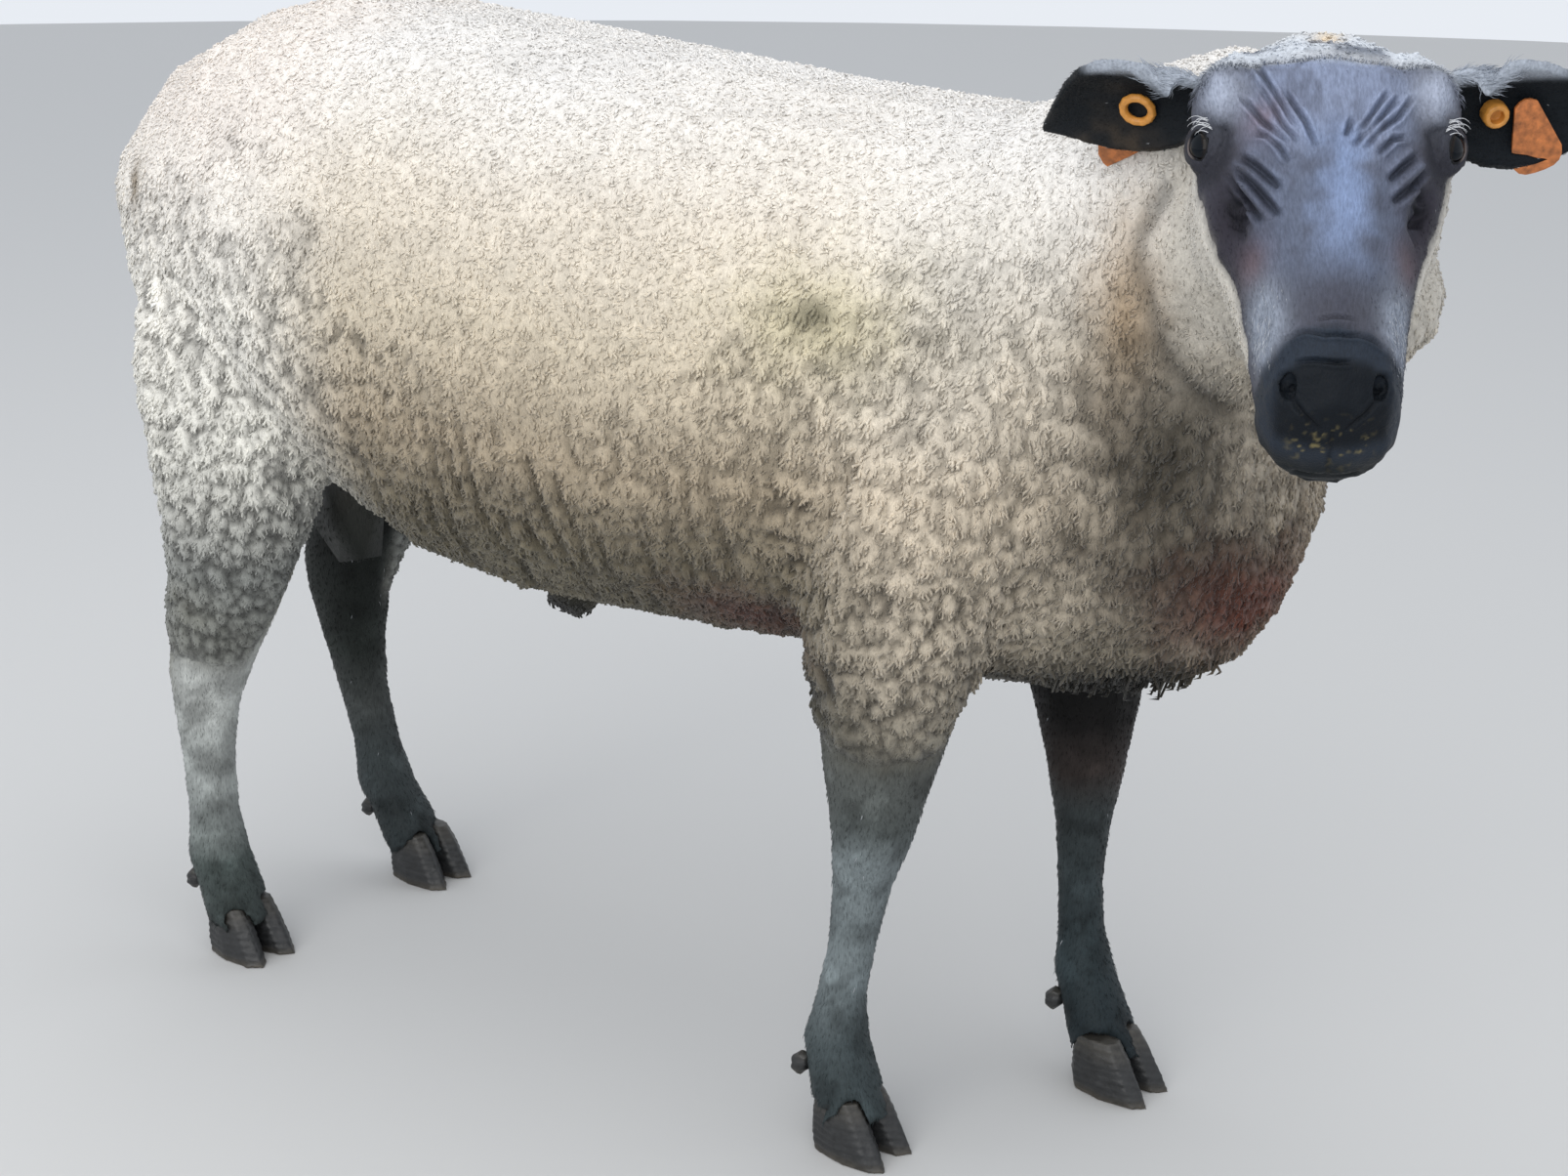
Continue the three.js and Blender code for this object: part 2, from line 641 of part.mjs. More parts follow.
/** What lies between two heights. */
function between(solid, low, high) {
  return solid.intersect(block([-ACROSS, -ACROSS, low], [ACROSS, ACROSS, high]));
}

/** The ruff of wool round the throat, behind the cheeks. */
const ruff = { at: [-8, 10, -116], size: [60, 67, 46], fine: 10 };
const ruffShape = (grow = 0) => headInBody(lump({ ...ruff, grow }));

/** The solid of one of the cutting boxes. */
function cutter({ size, centre, tilt, turn, at }, grow) {
  const geometry = new THREE.BoxGeometry(...size.map((side) => side + 2 * grow));
  geometry.translate(...centre);
  geometry.rotateY(radians(tilt));
  geometry.rotateZ(radians(turn));
  geometry.translate(...at);
  return solidOf(geometry);
}

/** In front of the root of the neck; in front of the back of the cheeks; below the mouth. */
const neckCutter = (grow) => cutter(neckCut, grow);
const headCutter = (grow) => headInBody(cutter(headCut, grow));
const jawCutter = (grow) => headInBody(cutter(jawCut, grow));

const legLofts = Object.fromEntries(legs.map((leg) => [leg.name, legLoft(leg)]));
let whole = trunkShape().add(neckShape()).add(ruffShape()).add(headInBody(headShape()));
for (const leg of legs) {
  whole = whole.add(between(legLofts[leg.name], leg.split, LEG_TOP));
}

const nodes = new Map();

/** Keeps a solid as a node with its finish. */
function keep(name, solid, finish) {
  nodes.set(name, { solid: mainBody(solid), finish });
}

const behindNeckCut = whole.subtract(neckCutter(CUT));
let trunkNode = behindNeckCut;
for (const leg of legs) {
  keep(`leg_${leg.name}_upper`, behindNeckCut.intersect(legCutter(leg, 0)), "darkFleece");
  trunkNode = trunkNode.subtract(legCutter(leg, CUT));
}
keep("trunk", trunkNode, "fleece");
keep("neck", whole.intersect(neckCutter(0)).subtract(headCutter(CUT)), "fleece");

for (const leg of legs) {
  const loft = legLofts[leg.name];
  keep(`leg_${leg.name}_cannon`, between(loft, FOOT_TOP, leg.split - CUT), leg.finish);
  let foot = between(loft, FOOT_BOTTOM, FOOT_TOP - CUT);
  for (const [label, side] of [["outer", leg.side], ["inner", -leg.side]]) {
    foot = foot.subtract(claw(leg.foot, side, CUT)).subtract(dewclaw(leg, side, CUT));
    keep(`claw_${leg.name}_${label}`, claw(leg.foot, side), "horn");
    keep(`dewclaw_${leg.name}_${label}`, dewclaw(leg, side), "horn");
  }
  keep(`leg_${leg.name}_foot`, foot, leg.finish);
}

let head = whole.intersect(neckCutter(0)).intersect(headCutter(0));
for (const place of Object.values(eyePlaces)) {
  head = head.subtract(headInBody(eyeball(place, CUT)));
}
for (const side of [-1, 1]) {
  head = head.subtract(headInBody(nostrilHollow(side)));
}
keep("head", head.subtract(jawCutter(CUT)), "face");
keep("jaw", head.intersect(jawCutter(0)), "muzzle");

for (const [label, place] of Object.entries(eyePlaces)) {
  keep(`eye_${label}`, headInBody(eyeball(place)), "eye");
}
const flesh = headInBody(headShape(CUT)).add(neckShape(CUT)).add(ruffShape(CUT));
const placedOnEar = (label, solid) => headInBody(solid.transform(earMatrix(earPlaces[label]).elements));
const earInBody = (label, grow) => placedOnEar(label, earShape(earPlaces[label].bow, grow));
for (const label of Object.keys(earPlaces)) {
  keep(`ear_${label}`, earInBody(label, 0).subtract(flesh), "face");
}
const keptTags = [];
for (const piece of tagPieces()) {
  let solid = placedOnEar(piece.ear, solidOf(piece.geometry));
  solid = solid.subtract(earInBody(piece.ear, CUT)).subtract(flesh);
  for (const other of keptTags) {
    solid = solid.subtract(other);
  }
  keep(piece.name, solid, piece.finish);
  keptTags.push(solid);
}

const trunkClearance = trunkShape(CUT);
keep("tail", loftAlongZ(tailStations, { sides: 8, steps: 1 }).subtract(trunkClearance), "fleece");
keep("scrotum", lump(scrotum).subtract(trunkClearance), "bareSkin");
keep("sheath", lump(sheath).subtract(trunkClearance), "bareSkin");

// ---------------------------------------------------------------- scene

const sheep = new THREE.Group();
for (const [name, { solid, finish }] of nodes) {
  const material = new THREE.MeshStandardMaterial({ ...finishes[finish], metalness: 0 });
  const mesh = new THREE.Mesh(geometryOf(solid), material);
  mesh.name = name;
  sheep.add(mesh);
}

const bounds = new THREE.Box3().setFromObject(sheep);
const middle = bounds.getCenter(new THREE.Vector3());
sheep.position.set(-middle.x, -middle.y, -bounds.min.z);

export default sheep;
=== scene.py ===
"""A standing ram, life size: skin, fleece, short hair, eyes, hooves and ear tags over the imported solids.

Everything is in metres in the frame of the solids: +X towards the chest, +Y to the animal's left,
+Z up, and the floor at zero. Places come from the boxes and meshes of the solids. Inside the head's
own frame sizes are in millimetres: x along the face to the nose, y to the animal's left, z out of
the forehead, and the origin midway between the eyes.
"""

import logging
import math
from dataclasses import dataclass, field
from enum import Enum

import bmesh
import bpy
import numpy as np
from mathutils import Matrix, Vector
from mathutils.bvhtree import BVHTree
from mathutils.kdtree import KDTree


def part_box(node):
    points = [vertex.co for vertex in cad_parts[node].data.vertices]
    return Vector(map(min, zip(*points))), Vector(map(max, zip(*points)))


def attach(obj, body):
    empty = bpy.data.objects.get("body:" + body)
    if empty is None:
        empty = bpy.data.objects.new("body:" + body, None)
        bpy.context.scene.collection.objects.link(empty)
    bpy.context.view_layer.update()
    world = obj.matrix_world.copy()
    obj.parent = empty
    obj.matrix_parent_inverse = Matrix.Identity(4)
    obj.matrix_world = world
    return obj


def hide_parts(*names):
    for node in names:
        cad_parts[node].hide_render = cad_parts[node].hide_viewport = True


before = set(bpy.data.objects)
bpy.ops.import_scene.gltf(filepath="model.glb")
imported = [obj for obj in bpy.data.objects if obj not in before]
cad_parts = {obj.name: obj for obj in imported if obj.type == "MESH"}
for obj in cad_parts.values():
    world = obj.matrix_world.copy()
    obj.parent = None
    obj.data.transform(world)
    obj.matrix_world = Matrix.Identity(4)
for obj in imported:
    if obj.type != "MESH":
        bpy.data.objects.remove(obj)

log = logging.getLogger("ram")
Array = np.ndarray
Triple = tuple[float, float, float]
Shade = tuple[int, int, int]  # red, green and blue from 0 to 255
Thing = bpy.types.Object
Mesh = bpy.types.Mesh
Material = bpy.types.Material
Tree = bpy.types.NodeTree
Socket = bpy.types.NodeSocket
MM = 0.001
BODY = "root"
PIECE_TRIANGLES = 195_000  # the most that one coat piece may hold
PATCH_RADIUS = 0.0015  # half the width of one tuft's patch on the flat map


# ---- numbers


def unit(vectors: Array) -> Array:
    """Rows of numbers, each scaled to length one."""
    return vectors / np.maximum(np.linalg.norm(vectors, axis=-1, keepdims=True), 1e-12)


def ease(value: Array, low: float, high: float) -> Array:
    """A smooth step from 0 at `low` to 1 at `high`; `low` may be above `high`."""
    t = np.clip((value - low) / (high - low), 0.0, 1.0)
    return t * t * (3.0 - 2.0 * t)


def bell(value: Array, width: float) -> Array:
    """A bell curve, 1 at zero and about a third at `width`."""
    return np.exp(-((value / width) ** 2))


def blend(first: Array, second: Array, share: Array) -> Array:
    """Rows mixed from `first`, where the share is 0, and `second`, where it is 1."""
    return np.asarray(first) + (np.asarray(second) - np.asarray(first)) * share[:, None]


def spot(places: Array, middle: Triple, size: Triple) -> Array:
    """A soft round patch, 1 at its middle and about a third at its size along each axis."""
    return bell(np.linalg.norm((places - np.array(middle)) / np.array(size), axis=1), 1.0)


def scramble(cells: Array, salt: int) -> Array:
    """An even spread of numbers from 0 to 1, always the same for the same whole-number cell.

    Args:
        cells: whole numbers, three to a row.
        salt: gives another spread.

    Returns:
        One number for each row.
    """
    mixed = cells[..., 0] * 73856093 ^ cells[..., 1] * 19349663 ^ cells[..., 2] * 83492791
    mixed = (mixed ^ (salt * 40503)) & 0xFFFFFFFF
    mixed = ((mixed ^ (mixed >> 13)) * 1274126177) & 0xFFFFFFFF
    mixed = ((mixed ^ (mixed >> 16)) * 668265263) & 0xFFFFFFFF
    return ((mixed ^ (mixed >> 15)) & 0xFFFFFF) / float(0xFFFFFF)


def drift(points: Array, size: float, salt: int) -> Array:
    """Smooth wandering noise over space.

    Args:
        points: places, three numbers to a row.
        size: the length over which it changes.
        salt: gives another noise.

    Returns:
        One number for each row, from -1 to 1.
    """
    scaled = points / size
    cell = np.floor(scaled).astype(np.int64)
    part = scaled - cell
    part = part * part * (3.0 - 2.0 * part)
    total = np.zeros(len(points))
    for corner in np.ndindex(2, 2, 2):
        near = np.where(np.array(corner), part, 1.0 - part).prod(axis=1)
        total += near * scramble(cell + np.array(corner), salt)
    return 2.0 * total - 1.0


def sway(points: Array, size: float, salt: int) -> Array:
    """Three wandering noises at once, as a direction for each place."""
    return np.stack([drift(points, size, salt + k) for k in range(3)], axis=1)


def neighbour_mean(values: Array, edges: Array, degree: Array) -> Array:
    """The mean of each vertex's neighbours.

    Args:
        values: a row of numbers for each vertex.
        edges: pairs of vertex numbers.
        degree: how many edges meet at each vertex.

    Returns:
        A row of means for each vertex.
    """
    count = len(values)
    total = np.empty_like(values)
    for column in range(values.shape[1]):
        one, other = values[edges[:, 0], column], values[edges[:, 1], column]
        total[:, column] = np.bincount(edges[:, 0], other, count) + np.bincount(edges[:, 1], one, count)
    return total / degree[:, None]


def vertex_normals(points: Array, triangles: Array) -> Array:
    """The outward direction at each vertex, weighted by the area round it.

    Args:
        points: the vertices.
        triangles: three vertex numbers to a row.

    Returns:
        A direction for each vertex.
    """
    a, b, c = (points[triangles[:, k]] for k in range(3))
    face = np.cross(b - a, c - a)
    normals = np.zeros_like(points)
    for corner in range(3):
        for axis in range(3):
            normals[:, axis] += np.bincount(triangles[:, corner], face[:, axis], len(points))
    return unit(normals)


def along_surface(ways: Array, normals: Array) -> Array:
    """Directions without the part of them that leaves the surface."""
    return ways - (ways * normals).sum(axis=1, keepdims=True) * normals


def polyline_distance(
    points: Array, line: Array, normals: Array, flatten: float = 0.8
) -> tuple[Array, Array]:
    """How far places are from a bent line, little of the distance being across the surface.

    Args:
        points: places.
        line: the corners of the line.
        normals: the surface's direction at each place.
        flatten: the share of the distance along the normal that is left out.

    Returns:
        The distance, and how far along the line its nearest point is, from 0 to 1.
    """
    best = np.full(len(points), 1e9)
    along = np.zeros(len(points))
    lengths = np.linalg.norm(np.diff(line, axis=0), axis=1)
    ends = np.concatenate([[0.0], np.cumsum(lengths)]) / lengths.sum()
    for index in range(len(line) - 1):
        step = line[index + 1] - line[index]
        t = np.clip(((points - line[index]) @ step) / (step @ step), 0.0, 1.0)
        away = points - (line[index] + t[:, None] * step)
        across = (away * normals).sum(axis=1)
        away = away - flatten * across[:, None] * normals
        distance = np.linalg.norm(away, axis=1)
        nearer = distance < best
        best = np.where(nearer, distance, best)
        along = np.where(nearer, ends[index] + t * (ends[index + 1] - ends[index]), along)
    return best, along


# ---- meshes


def mesh_arrays(mesh: Mesh) -> tuple[Array, Array]:
    """A mesh as arrays.

    Args:
        mesh: the mesh to read.

    Returns:
        Its vertices, and its triangles as vertex numbers.
    """
    mesh.calc_loop_triangles()
    points = np.empty(len(mesh.vertices) * 3)
    mesh.vertices.foreach_get("co", points)
    triangles = np.empty(len(mesh.loop_triangles) * 3, dtype=np.int64)
    mesh.loop_triangles.foreach_get("vertices", triangles)
    return points.reshape(-1, 3), triangles.reshape(-1, 3)


def new_mesh(name: str, points: Array, faces: list[Array]) -> Mesh:
    """Makes a mesh from arrays.

    Args:
        name: the mesh's name.
        points: the vertices.
        faces: arrays of faces, each array holding faces of one number of corners.

    Returns:
        The mesh, shaded smooth.
    """
    mesh = bpy.data.meshes.new(name)
    mesh.vertices.add(len(points))
    mesh.vertices.foreach_set("co", np.ascontiguousarray(points, dtype=np.float32).ravel())
    corners = np.concatenate([array.ravel() for array in faces])
    sizes = np.concatenate([np.full(len(array), array.shape[1]) for array in faces])
    mesh.loops.add(len(corners))
    mesh.loops.foreach_set("vertex_index", corners.astype(np.int32))
    mesh.polygons.add(len(sizes))
    starts = np.concatenate([[0], np.cumsum(sizes)[:-1]])
    mesh.polygons.foreach_set("loop_start", starts.astype(np.int32))
    mesh.update(calc_edges=True)
    mesh.polygons.foreach_set("use_smooth", np.ones(len(sizes), dtype=bool))
    mesh.validate()
    return mesh


def ring_quads(rings: int, sides: int, closed: bool = False) -> Array:
    """Four-sided faces between rings of vertices that follow each other.

    Args:
        rings: how many rings there are.
        sides: how many vertices each has.
        closed: whether the last ring meets the first.

    Returns:
        Four vertex numbers to a row.
    """
    side, after = np.arange(sides), (np.arange(sides) + 1) % sides
    here = np.arange(rings if closed else rings - 1)[:, None] * sides
    beyond = (here + sides) % (rings * sides)
    return np.stack([here + side, here + after, beyond + after, beyond + side], axis=2).reshape(-1, 4)


def add_object(name: str, mesh: Mesh, material: Material | None = None) -> Thing:
    """Puts a mesh in the scene.

    Args:
        name: the object's name.
        mesh: its mesh.
        material: its material, if it has one yet.

    Returns:
        The new object.
    """
    thing = bpy.data.objects.new(name, mesh)
    bpy.context.scene.collection.objects.link(thing)
    if material is not None:
        mesh.materials.append(material)
    return thing


def ride(thing: Thing, slot: str, *replaced: str) -> Thing:
    """Ties a piece to the body, in place of some solids if any are named, and reports it.

    Args:
        thing: the piece.
        slot: not used.
        *replaced: the solids that it stands for.

    Returns:
        The piece.
    """
    log.info("%s: %d faces", thing.name, len(thing.data.polygons))
    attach(thing, BODY)
    if replaced:
        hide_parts(*replaced)
    return thing


def set_colour(mesh: Mesh, colours: Array) -> None:
    """Stores a colour for each vertex under the name that the materials read.

    Args:
        mesh: the mesh.
        colours: red, green and blue for each vertex.
    """
    layer = mesh.attributes.new("marking", "FLOAT_COLOR", "POINT")
    rgba = np.ones((len(colours), 4), dtype=np.float32)
    rgba[:, :3] = colours
    layer.data.foreach_set("color", rgba.ravel())


def evaluated_mesh(thing: Thing) -> Mesh:
    """A new mesh: the object's own with its modifiers applied."""
    depsgraph = bpy.context.evaluated_depsgraph_get()
    return bpy.data.meshes.new_from_object(thing.evaluated_get(depsgraph))


def box_of(*nodes: str) -> tuple[Array, Array]:
    """The box round some solids.

    Args:
        *nodes: the names of the solids.

    Returns:
        Its lowest and highest corners.
    """
    corners = [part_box(node) for node in nodes]
    low = np.min([np.array(corner[0]) for corner in corners], axis=0)
    high = np.max([np.array(corner[1]) for corner in corners], axis=0)
    return low, high


def centre_of(*nodes: str) -> Array:
    """The middle of the box round some solids."""
    low, high = box_of(*nodes)
    return (low + high) / 2.0


# ---- the head's own frame


@dataclass(frozen=True)
class HeadFrame:
    """The frame of the head, in millimetres: x to the nose, y to the left, z out of the forehead.

    Attributes:
        origin: the place midway between the eyes.
        axes: the three directions as columns.
    """

    origin: Array
    axes: Array

    @classmethod
    def between_eyes(cls, pitch: float = 36.0, turn: float = -65.6, roll: float = 1.2) -> "HeadFrame":
        """Sets the frame on the eyes.

        Args:
            pitch: how far the nose points down, in degrees.
            turn: how far the face is turned from the body's line, in degrees.
            roll: how far the head leans to one side, in degrees.

        Returns:
            The frame.
        """
        p, t, r = (math.radians(angle) for angle in (pitch, turn, roll))
        forward = np.array([math.cos(p) * math.cos(t), math.cos(p) * math.sin(t), -math.sin(p)])
        left = np.array([-math.sin(t), math.cos(t), 0.0])
        level = np.stack([forward, left, np.cross(forward, left)], axis=1)
        lean = np.array([[1, 0, 0], [0, math.cos(r), -math.sin(r)], [0, math.sin(r), math.cos(r)]])
        axes = level @ lean
        eyes = (centre_of("eye_left") + centre_of("eye_right")) / 2.0
        return cls(eyes + MM * axes[:, 2], axes)

    def local(self, points: Array) -> Array:
        """Places of the model as places in the head's frame."""
        return (points - self.origin) @ self.axes / MM

    def world(self, points: Array) -> Array:
        """Places in the head's frame as places of the model."""
        return np.asarray(points) * MM @ self.axes.T + self.origin

    def turned(self, directions: Array) -> Array:
        """Directions in the head's frame as directions of the model."""
        return np.asarray(directions) @ self.axes.T


class Zoom:
    """Spreads space round one place, so that an even mesh made there is finest round it."""

    def __init__(self, centre: Array, strength: float, inner: float, outer: float) -> None:
        """Sets the spread.

        Args:
            centre: the place that stays still.
            strength: how many times larger things get near it.
            inner: the radius of the part that is spread in full.
            outer: the radius from which nothing is spread.
        """
        self.centre = centre
        self.radii = np.linspace(0.0, 1.8, 1801)
        rate = 1.0 + (strength - 1.0) * (1.0 - ease(self.radii, inner, outer))
        steps = (rate[1:] + rate[:-1]) / 2.0 * np.diff(self.radii)
        self.spread = np.concatenate([[0.0], np.cumsum(steps)])

    def _moved(self, points: Array, before: Array, after: Array) -> Array:
        """Places after moving them along their rays, from one list of radii to another.

        Args:
            points: the places.
            before: radii.
            after: what they become.

        Returns:
            The moved places.
        """
        away = points - self.centre
        radius = np.linalg.norm(away, axis=-1, keepdims=True)
        return self.centre + away / np.maximum(radius, 1e-9) * np.interp(radius, before, after)

    def larger(self, points: Array) -> Array:
        """Places in the spread space."""
        return self._moved(points, self.radii, self.spread)

    def back(self, points: Array) -> Array:
        """Places of the spread space, back where they came from."""
        return self._moved(points, self.spread, self.radii)


# ---- the skin


class Part(Enum):
    """What part of the body a place of the skin belongs to."""

    TRUNK = 0
    NECK = 1
    HEAD = 2
    JAW = 3
    EAR = 4
    UPPER = 5
    CANNON = 6
    FOOT = 7
    TAIL = 8
    SCROTUM = 9
    SHEATH = 10


def part_of(node: str) -> Part:
    """The part of the body that a solid is.

    Args:
        node: the solid's name.

    Returns:
        The part.
    """
    words = node.split("_")
    for word in (words[-1], words[0]):
        if word.upper() in Part.__members__:
            return Part[word.upper()]
    raise ValueError(f"{node} is no part of the flesh")


LEGS = ("fore_right", "fore_left", "hind_right", "hind_left")
FLESH = (
    ["trunk", "neck", "head", "jaw", "ear_right", "ear_left", "tail", "scrotum", "sheath"]
    + [f"leg_{leg}_{piece}" for leg in LEGS for piece in ("upper", "cannon", "foot")]
)


def remeshed(corners: Array, grain: float) -> tuple[Array, Array]:
    """One even closed surface round everything that some triangles enclose.

    Args:
        corners: triangles, each of three places.
        grain: the size of the new faces.

    Returns:
        The new vertices and triangles.
    """
    mesh = new_mesh("before", corners.reshape(-1, 3), [np.arange(3 * len(corners)).reshape(-1, 3)])
    thing = add_object("before", mesh)
    remesh = thing.modifiers.new("even", "REMESH")
    remesh.mode = "VOXEL"
    remesh.voxel_size = grain
    points, triangles = mesh_arrays(evaluated_mesh(thing))
    bpy.data.objects.remove(thing)
    return points, triangles


def nearest(points: Array, places: Array) -> Array:
    """The number of the point that is nearest to each place.

    Args:
        points: the points to choose from.
        places: the places.

    Returns:
        A number for each place.
    """
    tree = KDTree(len(points))
    for index, point in enumerate(points):
        tree.insert(point, index)
    tree.balance()
    return np.array([tree.find(place)[1] for place in places])


def edges_of(points: Array, triangles: Array) -> tuple[Array, Array]:
    """The edges of a mesh, and how many meet at each vertex.

    Args:
        points: the vertices.
        triangles: three vertex numbers to a row.

    Returns:
        Pairs of vertex numbers, and a count for each vertex.
    """
    pairs = np.concatenate([triangles[:, [0, 1]], triangles[:, [1, 2]], triangles[:, [2, 0]]])
    pairs = np.unique(np.sort(pairs, axis=1), axis=0)
    return pairs, np.maximum(np.bincount(pairs.ravel(), minlength=len(points)), 1)


def none() -> Array:
    """An array with nothing in it yet."""
    return np.zeros((0, 3))


@dataclass
class Surface:
    """A mesh on which things grow, or, with no triangles, the places that they grow from.

    Attributes:
        points: its vertices.
        triangles: three vertex numbers to a row.
        normals: its outward direction at each vertex.
        parts: how much each vertex belongs to each part of the body.
        wool: where wool grows.
        depth: how deep the coat is.
        notes: what else is known of each vertex, a few numbers to a row.
    """

    points: Array = field(default_factory=none)
    triangles: Array = field(default_factory=none)
    normals: Array = field(default_factory=none)
    parts: Array = field(default_factory=none)
    wool: Array = field(default_factory=none)
    depth: Array = field(default_factory=none)
    notes: Array = field(default_factory=none)

    def spread(self, values: Array, rounds: int) -> Array:
        """Values after blurring them over the surface.

        Args:
            values: one number or more for each vertex.
            rounds: how many times they are blurred.

        Returns:
            The blurred values.
        """
        edges, degree = edges_of(self.points, self.triangles)
        blurred = values if values.ndim == 2 else values[:, None]
        for _ in range(rounds):
            blurred = (blurred + neighbour_mean(blurred, edges, degree)) / 2.0
        return blurred if values.ndim == 2 else blurred[:, 0]

    def only(self, chosen: Array) -> "Surface":
        """Some of the vertices, by a mask or by their numbers, with no triangles."""
        fields = (self.normals, self.parts, self.wool, self.depth, self.notes)
        return Surface(self.points[chosen], none(), *(values[chosen] for values in fields))


def split_long(corners: Array, longest: float) -> Array:
    """Cuts triangles into four until they have no edge longer than asked.

    Args:
        corners: triangles, each of three places.
        longest: the longest edge allowed.

    Returns:
        The triangles.
    """
    done = []
    while len(corners):
        edge = np.linalg.norm(corners - np.roll(corners, 1, axis=1), axis=2).max(axis=1)
        done.append(corners[edge <= longest])
        a, b, c = np.moveaxis(corners[edge > longest], 1, 0)
        ab, bc, ca = (a + b) / 2.0, (b + c) / 2.0, (c + a) / 2.0
        quarters = ((a, ab, ca), (ab, b, bc), (ca, bc, c), (ab, bc, ca))
        corners = np.concatenate([np.stack(quarter, axis=1) for quarter in quarters])
    return np.concatenate(done)


def solid_corners(node: str, swell: float) -> Array:
    """The triangles of a solid, swollen a little so that the thin cuts between solids close.

    Args:
        node: the solid's name.
        swell: how far its outside moves out.

    Returns:
        Triangles, each of three places.
    """
    points, triangles = mesh_arrays(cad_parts[node].data)
    low, high = points.min(axis=0), points.max(axis=0)
    centre = (low + high) / 2.0
    points = centre + (points - centre) * (1.0 + 2.0 * swell / (high - low))
    return points[triangles]


@dataclass(frozen=True)
class Crease:
    """A groove in the skin of the head, with its edges raised.

    Attributes:
        line: the corners of its path in the head's frame.
        depth: how deep it is in the middle, in millimetres; below zero it is a ridge.
        width: half its width, in millimetres.
        lip: how high its edges rise, as a share of the depth.
    """

    line: tuple[Triple, ...]
    depth: float
    width: float
    lip: float = 0.45

    def lift(self, places: Array, normals: Array) -> Array:
        """How far it moves the skin out at each place, in millimetres.

        Args:
            places: places in the head's frame.
            normals: the skin's directions there.

        Returns:
            A height for each place.
        """
        distance, along = polyline_distance(places, np.array(self.line), normals)
        taper = 0.15 + 0.85 * np.sqrt(np.clip(4.0 * along * (1.0 - along), 0.0, 1.0))
        groove = -bell(distance, self.width)
        edges = self.lip * bell(distance - 2.1 * self.width, self.width)
        return self.depth * taper * (groove + edges)

    def mirrored(self) -> "Crease":
        """The same groove on the head's other side."""
        return Crease(tuple((x, -y, z) for x, y, z in self.line), self.depth, self.width, self.lip)


def creases(depth: float, width: float, *lines: tuple, lip: float = 0.75) -> list[Crease]:
    """Several grooves of one depth and width."""
    return [Crease(line, depth, width, lip) for line in lines]


FOREHEAD_WRINKLES = creases(
    2.8, 1.3,
    ((-33, -36, 25), (-15, -31, 30), (2, -24, 29), (14, -19, 28)),
    ((-8, -23, 31), (3, -18, 30), (12, -13, 29), (26, -8, 26)),
    ((-13, -34, 28), (0, -29, 29), (14, -23, 27), (23, -17, 26)),
    ((-10, -44, 26), (-1, -38, 24), (9, -33, 25), (17, -27, 25), (23, -21, 25)),
    ((13, -37, 21), (16, -31, 23), (24, -26, 24), (33, -21, 22)),
    ((-7, 33, 27), (6, 26, 29), (17, 18, 27), (25, 11, 26)),
    ((-11, 41, 24), (5, 33, 26), (16, 23, 27), (25, 17, 25)),
    ((14, 37, 21), (18, 30, 23), (28, 23, 23)),
    ((-10, 29, 30), (9, 19, 29), (20, 13, 27)),
    ((10, 10, 30), (20, 7, 28)),
)
BRIDGE_FOLDS = creases(
    4.2, 1.9,
    ((22, -44, 14), (30, -37, 15), (39, -30, 15), (45, -26, 16)),
    ((27, -46, 9), (37, -39, 11), (49, -32, 11), (60, -26, 12)),
    ((28, -49, 5), (41, -42, 6), (52, -37, 7), (59, -34, 7)),
    ((21, 43, 15), (29, 36, 15), (39, 29, 16)),
    ((24, 48, 7), (39, 39, 10), (50, 31, 12)),
)
MUZZLE_FOLDS = creases(
    1.6, 1.1,
    ((125, -9, 8), (125, 0, 9), (125, 10, 8)),
    ((130, -27, -4), (132, -21, 1), (132, -13, 6), (135, -5, 7), (135, 6, 7), (134, 11, 6), (135, 19, 2),
     (136, 24, -2)),
    ((146, -19, -1), (147, -9, 2), (149, 0, 3), (148, 7, 2)),
)
NOSTRIL = Crease(((149, -26, -8), (152, -21, -6), (157, -21, -10)), 3.4, 1.9, 0.3)
NOSTRIL_WING = Crease(((157, -21, -10), (163, -17, -13), (167, -12, -16), (170, -6, -21)), 1.6, 1.2, 0.3)
PHILTRUM = Crease(((171, 0, -20), (173, 0, -29), (173, 0, -39), (171, 0, -52)), 1.6, 1.2, 0.3)
MOUTH = (
    Crease(((172, 0, -52), (166, -12, -52), (150, -22, -55), (118, -31, -60)), 3.0, 1.8, 0.35),
    Crease(((172, 0, -52), (166, 12, -52), (150, 22, -55), (118, 31, -60)), 3.0, 1.8, 0.35),
)


@dataclass(frozen=True)
class Swelling:
    """A soft mound or hollow in the skin of the head.

    Attributes:
        place: its middle in the head's frame; it is on both sides when `paired`.
        size: its half sizes along the frame's axes, in millimetres.
        height: how far it stands out, or below zero how deep it is, in millimetres.
        paired: whether the head's other side has one too.
    """

    place: Triple
    size: Triple
    height: float
    paired: bool = True

    def lift(self, places: Array) -> Array:
        """How far it moves the skin out at each place, in millimetres.

        Args:
            places: places in the head's frame.

        Returns:
            A height for each place.
        """
        total = np.zeros(len(places))
        for side in (1.0, -1.0) if self.paired else (1.0,):
            away = (places - np.array(self.place) * [1.0, side, 1.0]) / np.array(self.size)
            total += self.height * np.exp(-(away**2).sum(axis=1))
        return total


